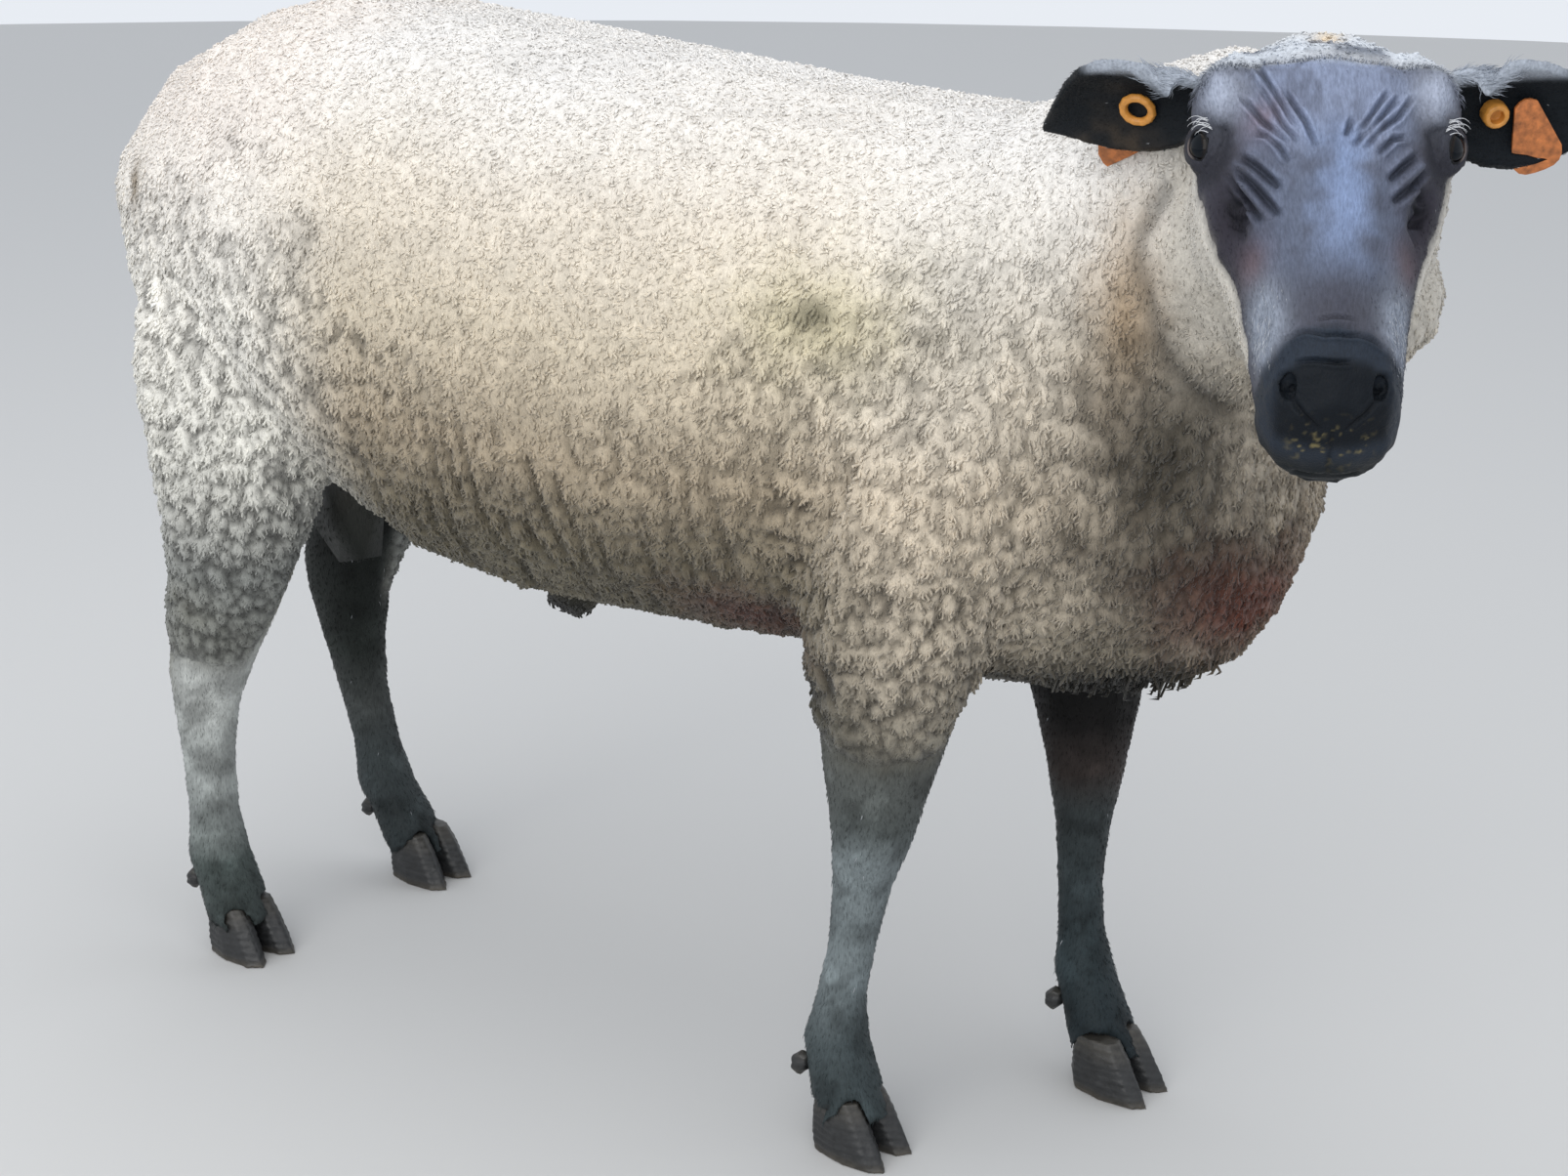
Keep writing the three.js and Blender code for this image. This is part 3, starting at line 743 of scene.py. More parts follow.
HEAD_SWELLINGS = (
    Swelling((-26, 55, 19), (14, 12, 9), 4.6),  # the pad over each eye
    Swelling((42, 44, -3), (17, 6.5, 8), -8.5),  # the pit in front of each eye
    Swelling((44, 38, 10), (20, 5, 5), 2.2),  # its upper edge
    Swelling((44, 50, -15), (20, 7, 6), 2.0),  # its lower edge
    Swelling((64, 40, -4), (5, 8, 8), 1.6),  # its front edge
    Swelling((-13, 61, 11), (10, 9, 9), 5.0),  # the brow's edge over each eye
    Swelling((152, 22, -8), (4.5, 4, 5), -4.5),  # each nostril
    Swelling((158, 26, -13), (8, 6, 9), 2.0),  # the wing of each nostril
    Swelling((46, -52, -24), (24, 12, 20), 4.0, False),  # the fuller right cheek
    Swelling((23, -60, -10), (17, 12, 20), 4.2, False),  # and the bone above it
    Swelling((28, 58, -12), (22, 12, 18), 2.2),  # the cheek bones
    Swelling((160, 0, -9), (9, 8, 9), 1.0, False),  # the pad between the nostrils
    Swelling((158, 20, -40), (14, 12, 10), 1.8),  # the upper lip
    Swelling((90, 0, 22), (50, 10, 12), 1.2, False),  # the bridge of the nose
    Swelling((10, 0, 32), (22, 9, 10), -1.2, False),  # the middle of the forehead
    Swelling((-36, 26, 26), (9, 16, 12), -1.8),  # the dip behind the brow
)


@dataclass(frozen=True)
class EyeOpening:
    """The almond between the lids of one eye.

    Attributes:
        side: 1 for the left eye, -1 for the right.
        centre: the middle of the eyeball in the head's frame, in millimetres.
        radius: the eyeball's radius, in millimetres.
        half_length: half the almond's length, as an angle at the middle of the eyeball, in radians.
        upper: the height of the upper lid's arch, as such an angle.
        lower: the depth of the lower lid's arch, as such an angle.
    """

    side: float
    centre: Array
    radius: float
    half_length: float = math.radians(32.0)
    upper: float = math.radians(26.0)
    lower: float = math.radians(27.0)

    @property
    def axes(self) -> Array:
        """Columns: along the almond towards the nose, up it, and out of the eye."""
        out = unit(np.array([0.42, 0.73 * self.side, 0.54]))
        along = unit(np.cross(np.cross(out, [1.0, 0.0, -0.3]), out))
        up = np.cross(out, along)
        return np.stack([along, up * np.sign(up[2]), out], axis=1)

    def arch(self, angle: Array) -> tuple[Array, Array]:
        """The heights of both lids over the almond's line.

        Args:
            angle: angles along the almond.

        Returns:
            The upper lid's angle and the lower lid's, which is below zero.
        """
        part = np.clip(1.0 - (angle / self.half_length) ** 2, 0.0, 1.0)
        return self.upper * part**0.62, -self.lower * part**0.8

    def inside(self, places: Array) -> tuple[Array, Array, Array]:
        """Where places lie against the almond.

        Args:
            places: places in the head's frame.

        Returns:
            How far inside the almond each is in millimetres along the eyeball (below zero outside), its
            distance from the eyeball's middle, and its direction from there in the almond's own axes.
        """
        away = (places - self.centre) @ self.axes
        distance = np.linalg.norm(away, axis=1)
        direction = away / np.maximum(distance, 1e-6)[:, None]
        angle = np.arctan2(direction[:, 0], direction[:, 2])
        height = np.arcsin(np.clip(direction[:, 1], -1.0, 1.0))
        top, bottom = self.arch(angle)
        within = np.minimum(top - height, height - bottom)
        past_end = np.maximum(np.abs(angle) - self.half_length, 0.0)
        within = np.where(past_end > 0.0, -np.hypot(past_end, height), within)
        return within * self.radius, distance, direction

    def edge(self, count: int, lift: float) -> Array:
        """Places round the almond's edge, in the head's frame.

        Args:
            count: how many places.
            lift: how far outside the eyeball they lie, in millimetres.

        Returns:
            The places in order.
        """
        turn = np.linspace(0.0, 2.0 * math.pi, count, endpoint=False)
        angle = self.half_length * np.cos(turn)
        top, bottom = self.arch(angle)
        height = np.where(np.sin(turn) >= 0.0, top, bottom)
        flat = np.cos(height)
        local = np.stack([np.sin(angle) * flat, np.sin(height), np.cos(angle) * flat], axis=1)
        return self.centre + (self.radius + lift) * local @ self.axes.T


@dataclass
class Skin(Surface):
    """One closed skin over the whole animal, inside the solids by the depth of the coat.

    Its notes are how deep each vertex lies in a fold, up to 1, and below zero on a fold's raised edge.

    Attributes:
        head: the head's frame.
        openings: the almonds of the two eyes.
        grain: the size of the faces far from the face.
        smoothing: how many rounds of smoothing the softest parts get.
        faces: about how many triangles the skin is thinned to.
        lid: how thick the lids are at their edges, in millimetres.
        pocket: how far the skin lies behind the eyeball's front between the lids, in millimetres.
    """

    head: HeadFrame | None = None
    openings: tuple[EyeOpening, ...] = ()
    grain: float = 0.008
    smoothing: int = 60
    faces: int = 140_000
    lid: float = 1.1
    pocket: float = 3.0

    def shape(self) -> None:
        """Makes the skin's vertices and triangles."""
        corners, labels = self._flesh()
        zoom = Zoom(self.head.world([40.0, 0.0, -30.0]), strength=5.2, inner=0.12, outer=0.26)
        spread = zoom.larger(corners.reshape(-1, 3)).reshape(-1, 3, 3)
        points, self.triangles = remeshed(spread, self.grain)
        self.points = zoom.back(points)
        self.parts = self._part_shares(corners, labels)
        self._smooth()
        self._thin_out()
        self._refine()
        self.parts = self._part_shares(corners, labels)
        self.normals = vertex_normals(self.points, self.triangles)
        self.wool = self.spread(wool_share(self, self.head), 2)
        self.depth = self.spread(coat_depth(self, self.head), 8)
        self.points = self.points - self.normals * self.depth[:, None]
        self._sculpt_head()
        self.normals = vertex_normals(self.points, self.triangles)

    def _flesh(self) -> tuple[Array, Array]:
        """The triangles of the flesh solids and the eyes, and the part of the body each belongs to.

        Returns:
            Triangles, each of three places, and a part's number for each.
        """
        pieces, labels = [], []
        for node in FLESH + ["eye_left", "eye_right"]:
            corners = split_long(solid_corners(node, swell=0.0004), longest=0.015)
            pieces.append(corners)
            part = Part.HEAD if node.startswith("eye") else part_of(node)
            labels.append(np.full(len(corners), part.value))
        return np.concatenate(pieces), np.concatenate(labels)

    def _part_shares(self, corners: Array, labels: Array) -> Array:
        """How much each vertex belongs to each part, from the solid's triangle nearest to it.

        Args:
            corners: the solids' triangles.
            labels: the part's number for each.

        Returns:
            A row of shares for each vertex.
        """
        found = labels[::2][nearest(corners.mean(axis=1)[::2], self.points)]
        shares = np.zeros((len(self.points), len(Part)))
        shares[np.arange(len(found)), found] = 1.0
        return self.spread(shares, 3)

    def _smooth(self) -> None:
        """Rounds off the solids' facets without shrinking the body."""
        softness = {
            Part.TRUNK: 1.0, Part.NECK: 1.0, Part.UPPER: 0.8, Part.TAIL: 0.5, Part.HEAD: 0.62,
            Part.JAW: 0.55, Part.CANNON: 0.4, Part.FOOT: 0.3, Part.EAR: 0.12, Part.SCROTUM: 0.4,
            Part.SHEATH: 0.4,
        }
        share = sum(softness[part] * self.parts[:, part.value] for part in Part)[:, None]
        edges, degree = edges_of(self.points, self.triangles)
        for _ in range(self.smoothing):
            for step in (0.62, -0.64):
                away = neighbour_mean(self.points, edges, degree) - self.points
                self.points = self.points + step * share * away

    def _thin_out(self) -> None:
        """Leaves fewer faces where wool will cover them."""
        local = self.head.local(self.points)
        face = 1.0 - ease(np.linalg.norm(local - [70.0, 0.0, -5.0], axis=1), 100.0, 150.0)
        low_leg = self.parts[:, Part.UPPER.value] * ease(self.points[:, 2], 0.40, 0.36)
        bare = np.minimum(share_of(self.parts, Part.CANNON, Part.FOOT, Part.EAR) + low_leg, 1.0)
        mesh = new_mesh("thinning", self.points, [self.triangles])
        thing = add_object("thinning", mesh)
        group = thing.vertex_groups.new(name="thin")
        weights = np.clip(1.0 - face - 0.75 * bare, 0.0, 1.0)
        for level in range(1, 11):
            chosen = np.nonzero(np.round(weights * 10) == level)[0]
            group.add(chosen.tolist(), level / 10.0, "REPLACE")
        decimate = thing.modifiers.new("thin", "DECIMATE")
        decimate.ratio = min(1.0, self.faces / len(self.triangles))
        decimate.vertex_group = group.name
        decimate.vertex_group_factor = 10.0
        self.points, self.triangles = mesh_arrays(evaluated_mesh(thing))
        bpy.data.objects.remove(thing)

    def _refine(self) -> None:
        """Halves the faces of the forehead, the bridge and the nose, for their fine folds."""
        local = self.head.local(self.points)
        brow = (np.abs(local[:, 0] - 14.0) < 50.0) & (np.abs(local[:, 1]) < 52.0) & (local[:, 2] > -10.0)
        nose = (local[:, 0] > 134.0) & (np.abs(local[:, 1]) < 30.0) & (local[:, 2] > -22.0)
        fine = brow | nose
        mesh = new_mesh("finer", self.points, [self.triangles])
        shape = bmesh.new()
        shape.from_mesh(mesh)
        edges = [edge for edge in shape.edges if fine[edge.verts[0].index] and fine[edge.verts[1].index]]
        bmesh.ops.subdivide_edges(shape, edges=edges, cuts=1, use_grid_fill=True)
        bmesh.ops.triangulate(shape, faces=shape.faces)
        shape.to_mesh(mesh)
        shape.free()
        self.points, self.triangles = mesh_arrays(mesh)
        bpy.data.meshes.remove(mesh)

    def _sculpt_head(self) -> None:
        """Adds the lids, folds, wrinkles, nostrils and mouth."""
        from_face = np.linalg.norm(self.head.local(self.points) - [60.0, 0.0, -10.0], axis=1)
        near = np.nonzero(from_face < 170.0)[0]
        places = self.head.local(self.points[near])
        normals = vertex_normals(self.points, self.triangles)[near] @ self.head.axes
        lift = np.zeros(len(near))
        for swelling in HEAD_SWELLINGS:
            lift += swelling.lift(places)
        grooves = [*FOREHEAD_WRINKLES, *BRIDGE_FOLDS, *MUZZLE_FOLDS, NOSTRIL, NOSTRIL.mirrored(),
                   NOSTRIL_WING, NOSTRIL_WING.mirrored(), PHILTRUM, *MOUTH]
        folds = sum(groove.lift(places, normals) for groove in grooves)
        pits = np.clip(-HEAD_SWELLINGS[1].lift(places) / 8.5, 0.0, 1.0)
        lift += folds + 0.35 * drift(places, 9.0, 11) + 0.2 * drift(places, 4.0, 12)
        lift += 4.5 * pits * drift(places, 4.5, 13)
        places = places + normals * lift[:, None]
        for opening in self.openings:
            places = self._lids(places, opening)
        self.points[near] = self.head.world(places)
        # the notes: how deep each vertex lies in a fold, and below zero on a raised edge; the skin's colour
        # turns them into painted shade and painted highlight
        self.notes = np.zeros((len(self.points), 1))
        self.notes[near, 0] = np.clip((-folds - 0.4) / 2.0, 0.0, 1.0) - 0.6 * np.clip(folds / 1.6, 0.0, 1.0)

    def _lids(self, places: Array, opening: EyeOpening) -> Array:
        """Shapes the lids round one eye and the pocket behind them.

        Args:
            places: places of the skin in the head's frame.
            opening: the eye's almond.

        Returns:
            The moved places.
        """
        within, distance, direction = opening.inside(places)
        outside = np.maximum(-within, 0.0)
        lid = opening.radius + self.lid + 0.7 * ease(outside, 0.0, 2.5)
        fold = 1.1 * bell(outside - 4.4, 1.1) * ease(direction[:, 1], -0.1, 0.2)
        lid = lid - fold + 0.7 * bell(outside - 6.6, 1.6)
        target = np.where(within > 0.2, opening.radius - self.pocket, lid)
        far = np.where(distance > target, ease(outside, 6.0, 13.0), ease(outside, 5.0, 26.0))
        behind = ease(direction[:, 2], 0.25, -0.1)
        hold = np.maximum(far, behind)
        reach = np.where(distance < 60.0, target * (1.0 - hold) + distance * hold, distance)
        return opening.centre + (reach[:, None] * direction) @ opening.axes.T


# ---- where each kind of coat grows


def share_of(parts: Array, *chosen: Part) -> Array:
    """How much each place belongs to some parts of the body, taken together."""
    return parts[:, [part.value for part in chosen]].sum(axis=1)


def leg_sides(points: Array) -> tuple[Array, Array]:
    """Where places lie against their legs.

    Args:
        points: places of the model.

    Returns:
        How far each is on its leg's outer side, 0 to 1, and how far it belongs to the fore legs, 0 or 1.
    """
    middle = centre_of("trunk")[1]
    right = points[:, 1] < middle
    fore = points[:, 0] > centre_of("trunk")[0]
    lines = {leg: centre_of(f"leg_{leg}_cannon")[1] for leg in LEGS}
    line = np.where(
        fore,
        np.where(right, lines["fore_right"], lines["fore_left"]),
        np.where(right, lines["hind_right"], lines["hind_left"]),
    )
    outward = (points[:, 1] - line) * np.where(right, -1.0, 1.0)
    return ease(outward, -0.026, 0.004), fore.astype(float)


def wool_share(where: Surface, head: HeadFrame) -> Array:
    """Where wool grows and where short hair does.

    Args:
        where: a surface whose parts are known.
        head: the head's frame.

    Returns:
        1 where there is wool and 0 where there is short hair.
    """
    points, parts = where.points, where.parts
    ragged = drift(points, 0.022, 21) + 0.6 * drift(points, 0.008, 22)
    outer, fore = leg_sides(points)
    end = np.where(fore > 0.5, 0.352 - 0.052 * outer, 0.350 - 0.102 * outer)
    legs = ease(points[:, 2] + 0.009 * ragged, end - 0.020, end + 0.020)
    local = head.local(points)
    along, out = local[:, 0] + 3.0 * ragged, local[:, 2] + 3.0 * ragged
    edge = np.interp(
        along, [-60, -27, 5, 44, 63, 94, 110, 118, 124], [-30, -26, -8, -22, -25, -30, -36, -58, -95]
    )
    cheek = ease(edge - out, -4.0, 4.0)
    crown = ease(along, -31.0, -45.0)
    rear = centre_of("tail")
    bare = spot(points, (rear[0] + 0.03, rear[1] - 0.055, 0.575), (0.022, 0.022, 0.022))
    body = share_of(parts, Part.TRUNK, Part.NECK, Part.TAIL) * (1.0 - bare)
    return np.clip(
        body + share_of(parts, Part.UPPER) * legs
        + share_of(parts, Part.HEAD, Part.JAW) * np.maximum(cheek, crown), 0.0, 1.0,
    )


def coat_depth(where: Surface, head: HeadFrame) -> Array:
    """How deep the coat is over the skin, in metres.

    Args:
        where: a surface whose parts and wool are known.
        head: the head's frame.

    Returns:
        A depth for each vertex.
    """
    points, parts = where.points, where.parts
    wool_depth = {
        Part.TRUNK: 12.0, Part.NECK: 12.0, Part.HEAD: 6.0, Part.JAW: 6.0, Part.EAR: 2.0, Part.UPPER: 11.0,
        Part.CANNON: 4.0, Part.FOOT: 2.0, Part.TAIL: 7.0, Part.SCROTUM: 3.0, Part.SHEATH: 3.0,
    }
    hair_depth = {
        Part.TRUNK: 2.0, Part.NECK: 2.0, Part.HEAD: 0.6, Part.JAW: 0.6, Part.EAR: 0.3, Part.UPPER: 1.2,
        Part.CANNON: 0.9, Part.FOOT: 0.7, Part.TAIL: 1.5, Part.SCROTUM: 1.0, Part.SHEATH: 1.0,
    }
    woolly = sum(wool_depth[part] * parts[:, part.value] for part in Part)
    hairy = sum(hair_depth[part] * parts[:, part.value] for part in Part)
    low_leg = share_of(parts, Part.UPPER) * ease(points[:, 2], 0.40, 0.27)
    woolly = woolly * (1.0 - 0.4 * low_leg)
    muzzle = share_of(parts, Part.HEAD, Part.JAW) * ease(head.local(points)[:, 0], 118.0, 140.0)
    hairy = hairy * (1.0 - 0.6 * muzzle)
    return MM * (where.wool * woolly + (1.0 - where.wool) * hairy)


# ---- markings


def paint(red: int, green: int, blue: int) -> Array:
    """A colour on the usual 0 to 255 scale as linear light."""
    share = np.array([red, green, blue]) / 255.0
    return np.where(share <= 0.04045, share / 12.92, ((share + 0.055) / 1.055) ** 2.4)


def shades(height: Array, stops: list[tuple[float, int, int, int]]) -> Array:
    """Colours graded over a height.

    Args:
        height: one number for each place.
        stops: heights in rising order, each with its red, green and blue.

    Returns:
        A colour for each place.
    """
    levels = [stop[0] for stop in stops]
    table = np.array([paint(*stop[1:]) for stop in stops])
    return np.stack([np.interp(height, levels, table[:, k]) for k in range(3)], axis=1)


def layered(colour: Array, *layers: tuple[Shade, Array]) -> Array:
    """A colour painted over with others in order, each by its share at each place.

    Args:
        colour: the colour below.
        *layers: colours, each with its shares.

    Returns:
        The colour on top.
    """
    for over, share in layers:
        colour = blend(colour, paint(*over), share)
    return colour


@dataclass(frozen=True)
class StainAndShade:
    """A patch of another colour in the coat: some are real stains, some are painted shade.

    Attributes:
        place: its middle.
        size: its half sizes along X, Y and Z.
        colour: its colour.
        strength: how much of it shows in the middle, 0 to 1.
        mirrored: whether the animal's other side has one too.
    """

    place: Triple
    size: Triple
    colour: Shade
    strength: float
    mirrored: bool = False

    def share(self, points: Array, middle: float) -> Array:
        """How much of it shows at each place; `middle` is the Y of the animal's middle.

        Args:
            points: the places.
            middle: the Y of the animal's middle.

        Returns:
            A share for each place.
        """
        total = np.zeros(len(points))
        for mirror in (False, True) if self.mirrored else (False,):
            place = np.array(self.place)
            if mirror:
                place[1] = 2.0 * middle - place[1]
            away = (points - place) / np.array(self.size)
            ragged = 1.0 + 0.35 * drift(points, 0.018, 31) + 0.25 * drift(points, 0.006, 32)
            total = np.maximum(total, np.exp(-(away**2).sum(axis=1) * ragged))
        return self.strength * total


STAINS_AND_SHADE = (
    StainAndShade((0.215, -0.088, 0.600), (0.050, 0.060, 0.055), (204, 200, 192), 0.55, True),  # grey shoulder
    StainAndShade((0.200, -0.094, 0.545), (0.045, 0.060, 0.045), (206, 198, 184), 0.50, True),
    StainAndShade((0.135, -0.102, 0.572), (0.054, 0.050, 0.032), (206, 196, 160), 0.70),  # grass stain
    StainAndShade((0.131, -0.102, 0.577), (0.014, 0.030, 0.009), (96, 92, 74), 0.75),
    StainAndShade((0.140, -0.105, 0.545), (0.007, 0.030, 0.005), (84, 80, 66), 0.65),
    StainAndShade((0.200, -0.094, 0.570), (0.010, 0.030, 0.006), (92, 86, 74), 0.65),
    StainAndShade((0.316, -0.070, 0.590), (0.022, 0.050, 0.060), (176, 146, 108), 0.75, True),  # tan neck
    StainAndShade((0.338, -0.050, 0.508), (0.056, 0.070, 0.082), (40, 36, 28), 0.92, True),  # painted shadow of the head, on grubby wool
    # painted shadow of the head on the chest front, on grubby wool
    StainAndShade((0.345, 0.000, 0.430), (0.070, 0.095, 0.054), (28, 26, 20), 0.94),
    StainAndShade((0.370, 0.020, 0.405), (0.045, 0.075, 0.036), (104, 56, 44), 0.90),  # raddle on the brisket
    StainAndShade((0.285, 0.020, 0.343), (0.100, 0.085, 0.030), (8, 9, 8), 1.00),  # painted shade under the brisket, black
    StainAndShade((-0.345, 0.035, 0.350), (0.046, 0.040, 0.056), (7, 14, 12), 1.00),  # the purse: dark skin, with painted shade between the thighs
    StainAndShade((-0.153, 0.041, 0.306), (0.034, 0.030, 0.024), (14, 14, 13), 1.00),  # the sheath
    StainAndShade((0.062, -0.050, 0.366), (0.050, 0.060, 0.024), (84, 46, 40), 0.85),  # raddle on the belly
    StainAndShade((-0.450, -0.064, 0.600), (0.012, 0.020, 0.016), (120, 100, 66), 0.75),  # under the tail
    StainAndShade((-0.400, -0.060, 0.300), (0.022, 0.030, 0.022), (118, 112, 84), 0.45),
    StainAndShade((-0.455, -0.045, 0.245), (0.016, 0.026, 0.022), (112, 104, 70), 0.80),  # the hock
)


# The far legs go near black at their tops: dark hair, with painted shade under the body.
LEG_HAIR = {
    "fore_right": [(0.02, 44, 52, 54), (0.08, 64, 72, 74), (0.13, 104, 112, 114), (0.21, 112, 120, 122),
                   (0.24, 76, 81, 80), (0.30, 84, 86, 83)],
    "hind_right": [(0.02, 48, 54, 54), (0.08, 70, 78, 76), (0.14, 140, 144, 142), (0.24, 156, 158, 155),
                   (0.32, 140, 139, 128)],
    "fore_left": [(0.02, 26, 33, 37), (0.10, 44, 53, 56), (0.20, 48, 53, 54), (0.23, 46, 40, 38),
                  (0.27, 18, 16, 16), (0.32, 5, 8, 8)],
    "hind_left": [(0.02, 34, 40, 42), (0.10, 58, 64, 65), (0.16, 62, 65, 64), (0.20, 36, 40, 38),
                  (0.34, 12, 15, 13)],
}


@dataclass
class Markings:
    """The colours of the coat and of the skin under it.

    Attributes:
        head: the head's frame.
    """

    head: HeadFrame

    def colour_at(self, where: Surface) -> Array:
        """The colour of the coat.

        Args:
            where: the places, with their directions, parts and wool.

        Returns:
            A linear colour for each place.
        """
        points, parts = where.points, where.parts
        face = share_of(parts, Part.HEAD, Part.JAW, Part.EAR)
        hair = blend(self._leg_hair(points), self._face_hair(points, parts), face)
        # the purse and the sheath nearly black: dark skin, with painted shade between the thighs
        soft = share_of(parts, Part.SCROTUM, Part.SHEATH)
        hair = blend(hair, paint(13, 18, 16), soft)
        colour = blend(hair, self._wool(where), where.wool)
        middle = centre_of("trunk")[1]
        # real stains and dye, and patches of painted shade
        for coat_patch in STAINS_AND_SHADE:
            colour = blend(colour, paint(*coat_patch.colour), coat_patch.share(points, middle))
        cloud = 1.0 + 0.05 * drift(points, 0.07, 33) + 0.04 * drift(points, 0.02, 34)
        return colour * cloud[:, None]

    def _wool(self, where: Surface) -> Array:
        """The wool's colour: near white on top, cream on the sides and darker below, from grubby wool and
        from painted shade.

        Args:
            where: the places.

        Returns:
            A linear colour for each.
        """
        points, parts = where.points, where.parts
        height = points[:, 2] + 0.012 * drift(points, 0.09, 35)
        # darker towards the bottom: grubby wool, with painted shade where less light reaches
        flank = shades(height, [
            (0.34, 52, 52, 42), (0.40, 118, 110, 93), (0.47, 182, 167, 144),
            (0.55, 214, 202, 181), (0.63, 229, 220, 206), (0.70, 238, 235, 231),
        ])
        thigh = shades(height, [
            (0.24, 122, 123, 116), (0.33, 148, 150, 146), (0.42, 236, 234, 225),
            (0.55, 252, 248, 239), (0.66, 240, 232, 224),
        ])
        shoulder = shades(height, [
            (0.28, 122, 118, 106), (0.36, 190, 179, 161), (0.47, 216, 202, 181),
            (0.57, 236, 226, 209), (0.68, 236, 233, 229),
        ])
        colour = blend(flank, thigh, ease(points[:, 0], -0.20, -0.33))
        colour = blend(colour, shoulder, ease(points[:, 0], 0.10, 0.20))
        # the down-facing underside of the trunk darker still: grubby wool and painted shade
        below = ease(where.normals[:, 2], -0.25, -0.8) * share_of(parts, Part.TRUNK)
        colour = blend(colour, paint(112, 104, 84), 0.8 * below)
        local = self.head.local(points)
        crown = ease(local[:, 0], -24.0, -44.0) * ease(local[:, 2], -30.0, -5.0)
        crown = share_of(parts, Part.HEAD) * crown
        patches = drift(points, 0.011, 36) + 0.4 * drift(points, 0.005, 37)
        patches = ease(patches + ease(local[:, 0], -42.0, -66.0) - 0.1, -0.35, 0.25)
        curls = blend(paint(112, 119, 132), paint(206, 212, 220), patches)
        cream = spot(local, (-62.0, 2.0, 16.0), (10.0, 7.0, 14.0))
        curls = blend(curls, paint(226, 206, 176), cream)
        colour = blend(colour, curls, crown)
        cheek = share_of(parts, Part.HEAD, Part.JAW) * (1.0 - crown)
        return blend(colour, paint(200, 195, 185), 0.8 * cheek)

    def _leg_hair(self, points: Array) -> Array:
        """The short hair of the legs, which differs from leg to leg.

        Args:
            points: the places.

        Returns:
            A linear colour for each.
        """
        height = points[:, 2] + 0.010 * drift(points, 0.03, 38)
        colours = {leg: shades(height, LEG_HAIR[leg]) for leg in LEGS}
        left = (points[:, 1] > centre_of("trunk")[1]).astype(float)
        fore = (points[:, 0] > centre_of("trunk")[0]).astype(float)
        front = blend(colours["fore_right"], colours["fore_left"], left)
        back = blend(colours["hind_right"], colours["hind_left"], left)
        colour = blend(back, front, fore)
        mottled = ease(drift(points, 0.016, 39) + 0.5 * drift(points, 0.006, 40), 0.05, 0.55)
        pale = ease(drift(points, 0.020, 45) + 0.6 * drift(points, 0.007, 46), 0.1, 0.7)
        return colour * (1.0 - 0.34 * mottled + 0.45 * pale)[:, None]

    def _face_hair(self, points: Array, parts: Array) -> Array:
        """The short dark hair of the face and ears, with its paler stripe and muzzle.

        Args:
            points: the places.
            parts: how much each belongs to each part.

        Returns:
            A linear colour for each.
        """
        local = self.head.local(points)
        x, y, z = local.T
        side = np.abs(y)
        folded = np.stack([x, side, z], axis=1)
        wander = drift(local, 16.0, 41) + 0.5 * drift(local, 6.0, 42)
        front = ease(side + 7.0 * wander, 54.0, 24.0) * ease(z, -18.0, 8.0)
        streaks = ease(drift(local * [0.35, 1.0, 1.0], 3.2, 44) + wander, -0.5, 0.9)
        stripe = ease(np.abs(y - 5.0) + 6.0 * wander, 20.0, 3.0) * ease(x, 0.0, 34.0) * ease(x, 108.0, 60.0)
        warm = spot(folded, (78, 36, -6), (12, 9, 12)) + spot(local, (6, -33, 25), (12, 12, 12))
        muzzle = spot(folded, (116, 32, -11), (25, 12, 16))
        dark = ease(x + 2.5 * wander - 0.25 * side, 124.0, 133.0)
        nose = ease(x + 2.0 * wander, 144.0, 151.0) * ease(z, -36.0, -26.0) * ease(side, 32.0, 24.0)
        specks = ease(drift(local, 2.1, 47), 0.38, 0.75) * bell(z + 32.0, 11.0) * ease(side, 24.0, 12.0)
        # the dark gland pit in front of each eye, darkest in the hollows between its bumps: painted shade
        pit = 0.45 + 0.55 * ease(drift(local, 4.5, 13), 0.35, -0.30)
        pit = spot(folded, (42, 44, -3), (18, 8, 9)) * pit
        lids = bell(np.linalg.norm(folded - [3.0, 55.0, -1.0], axis=1) - 16.0, 5.0)
        top = ease(x + 3.0 * wander, -26.0, -37.0) * ease(z, -10.0, 6.0)
        colour = layered(
            np.repeat(paint(62, 63, 72)[None], len(points), axis=0),
            # the paler blue-grey front and brow: grey hair, with a painted reflection of the sky
            ((84, 91, 108), front * ease(x, 122.0, 78.0)),
            ((124, 134, 158), 0.85 * (front * ease(x, 52.0, 4.0))),  # the brow, partly a painted reflection of the sky
            ((66, 68, 80), 0.45 * front * streaks),
            # the paler stripe, its blue partly a painted reflection of the sky
            ((118, 134, 166), 0.9 * stripe * ease(z, 0.0, 10.0)),
            ((164, 172, 190), 0.85 * spot(folded, (-14, 55, 23), (17, 13, 13))),  # the pads over the eyes: pale hair and a painted highlight
            ((40, 36, 45), 0.90 * spot(folded, (46, 48, -8), (36, 15, 19))),  # the dark below the eyes
            ((104, 78, 80), 0.45 * np.clip(warm, 0.0, 1.0)),
            ((143, 151, 165), 0.76 * np.clip(1.25 * muzzle * (1.0 + 0.4 * wander), 0.0, 1.0)),
            ((36, 43, 53), dark),
            ((13, 18, 24), nose),
            ((20, 23, 22), 0.8 * (dark * ease(z, -34.0, -50.0))),  # the chin, darker below: painted shade under the lips
            ((142, 130, 88), 0.6 * specks * ease(x, 150.0, 156.0)),
            ((11, 13, 18), 0.92 * pit),
            ((34, 35, 41), 0.75 * lids),
            ((172, 180, 192), 0.75 * top),
        )
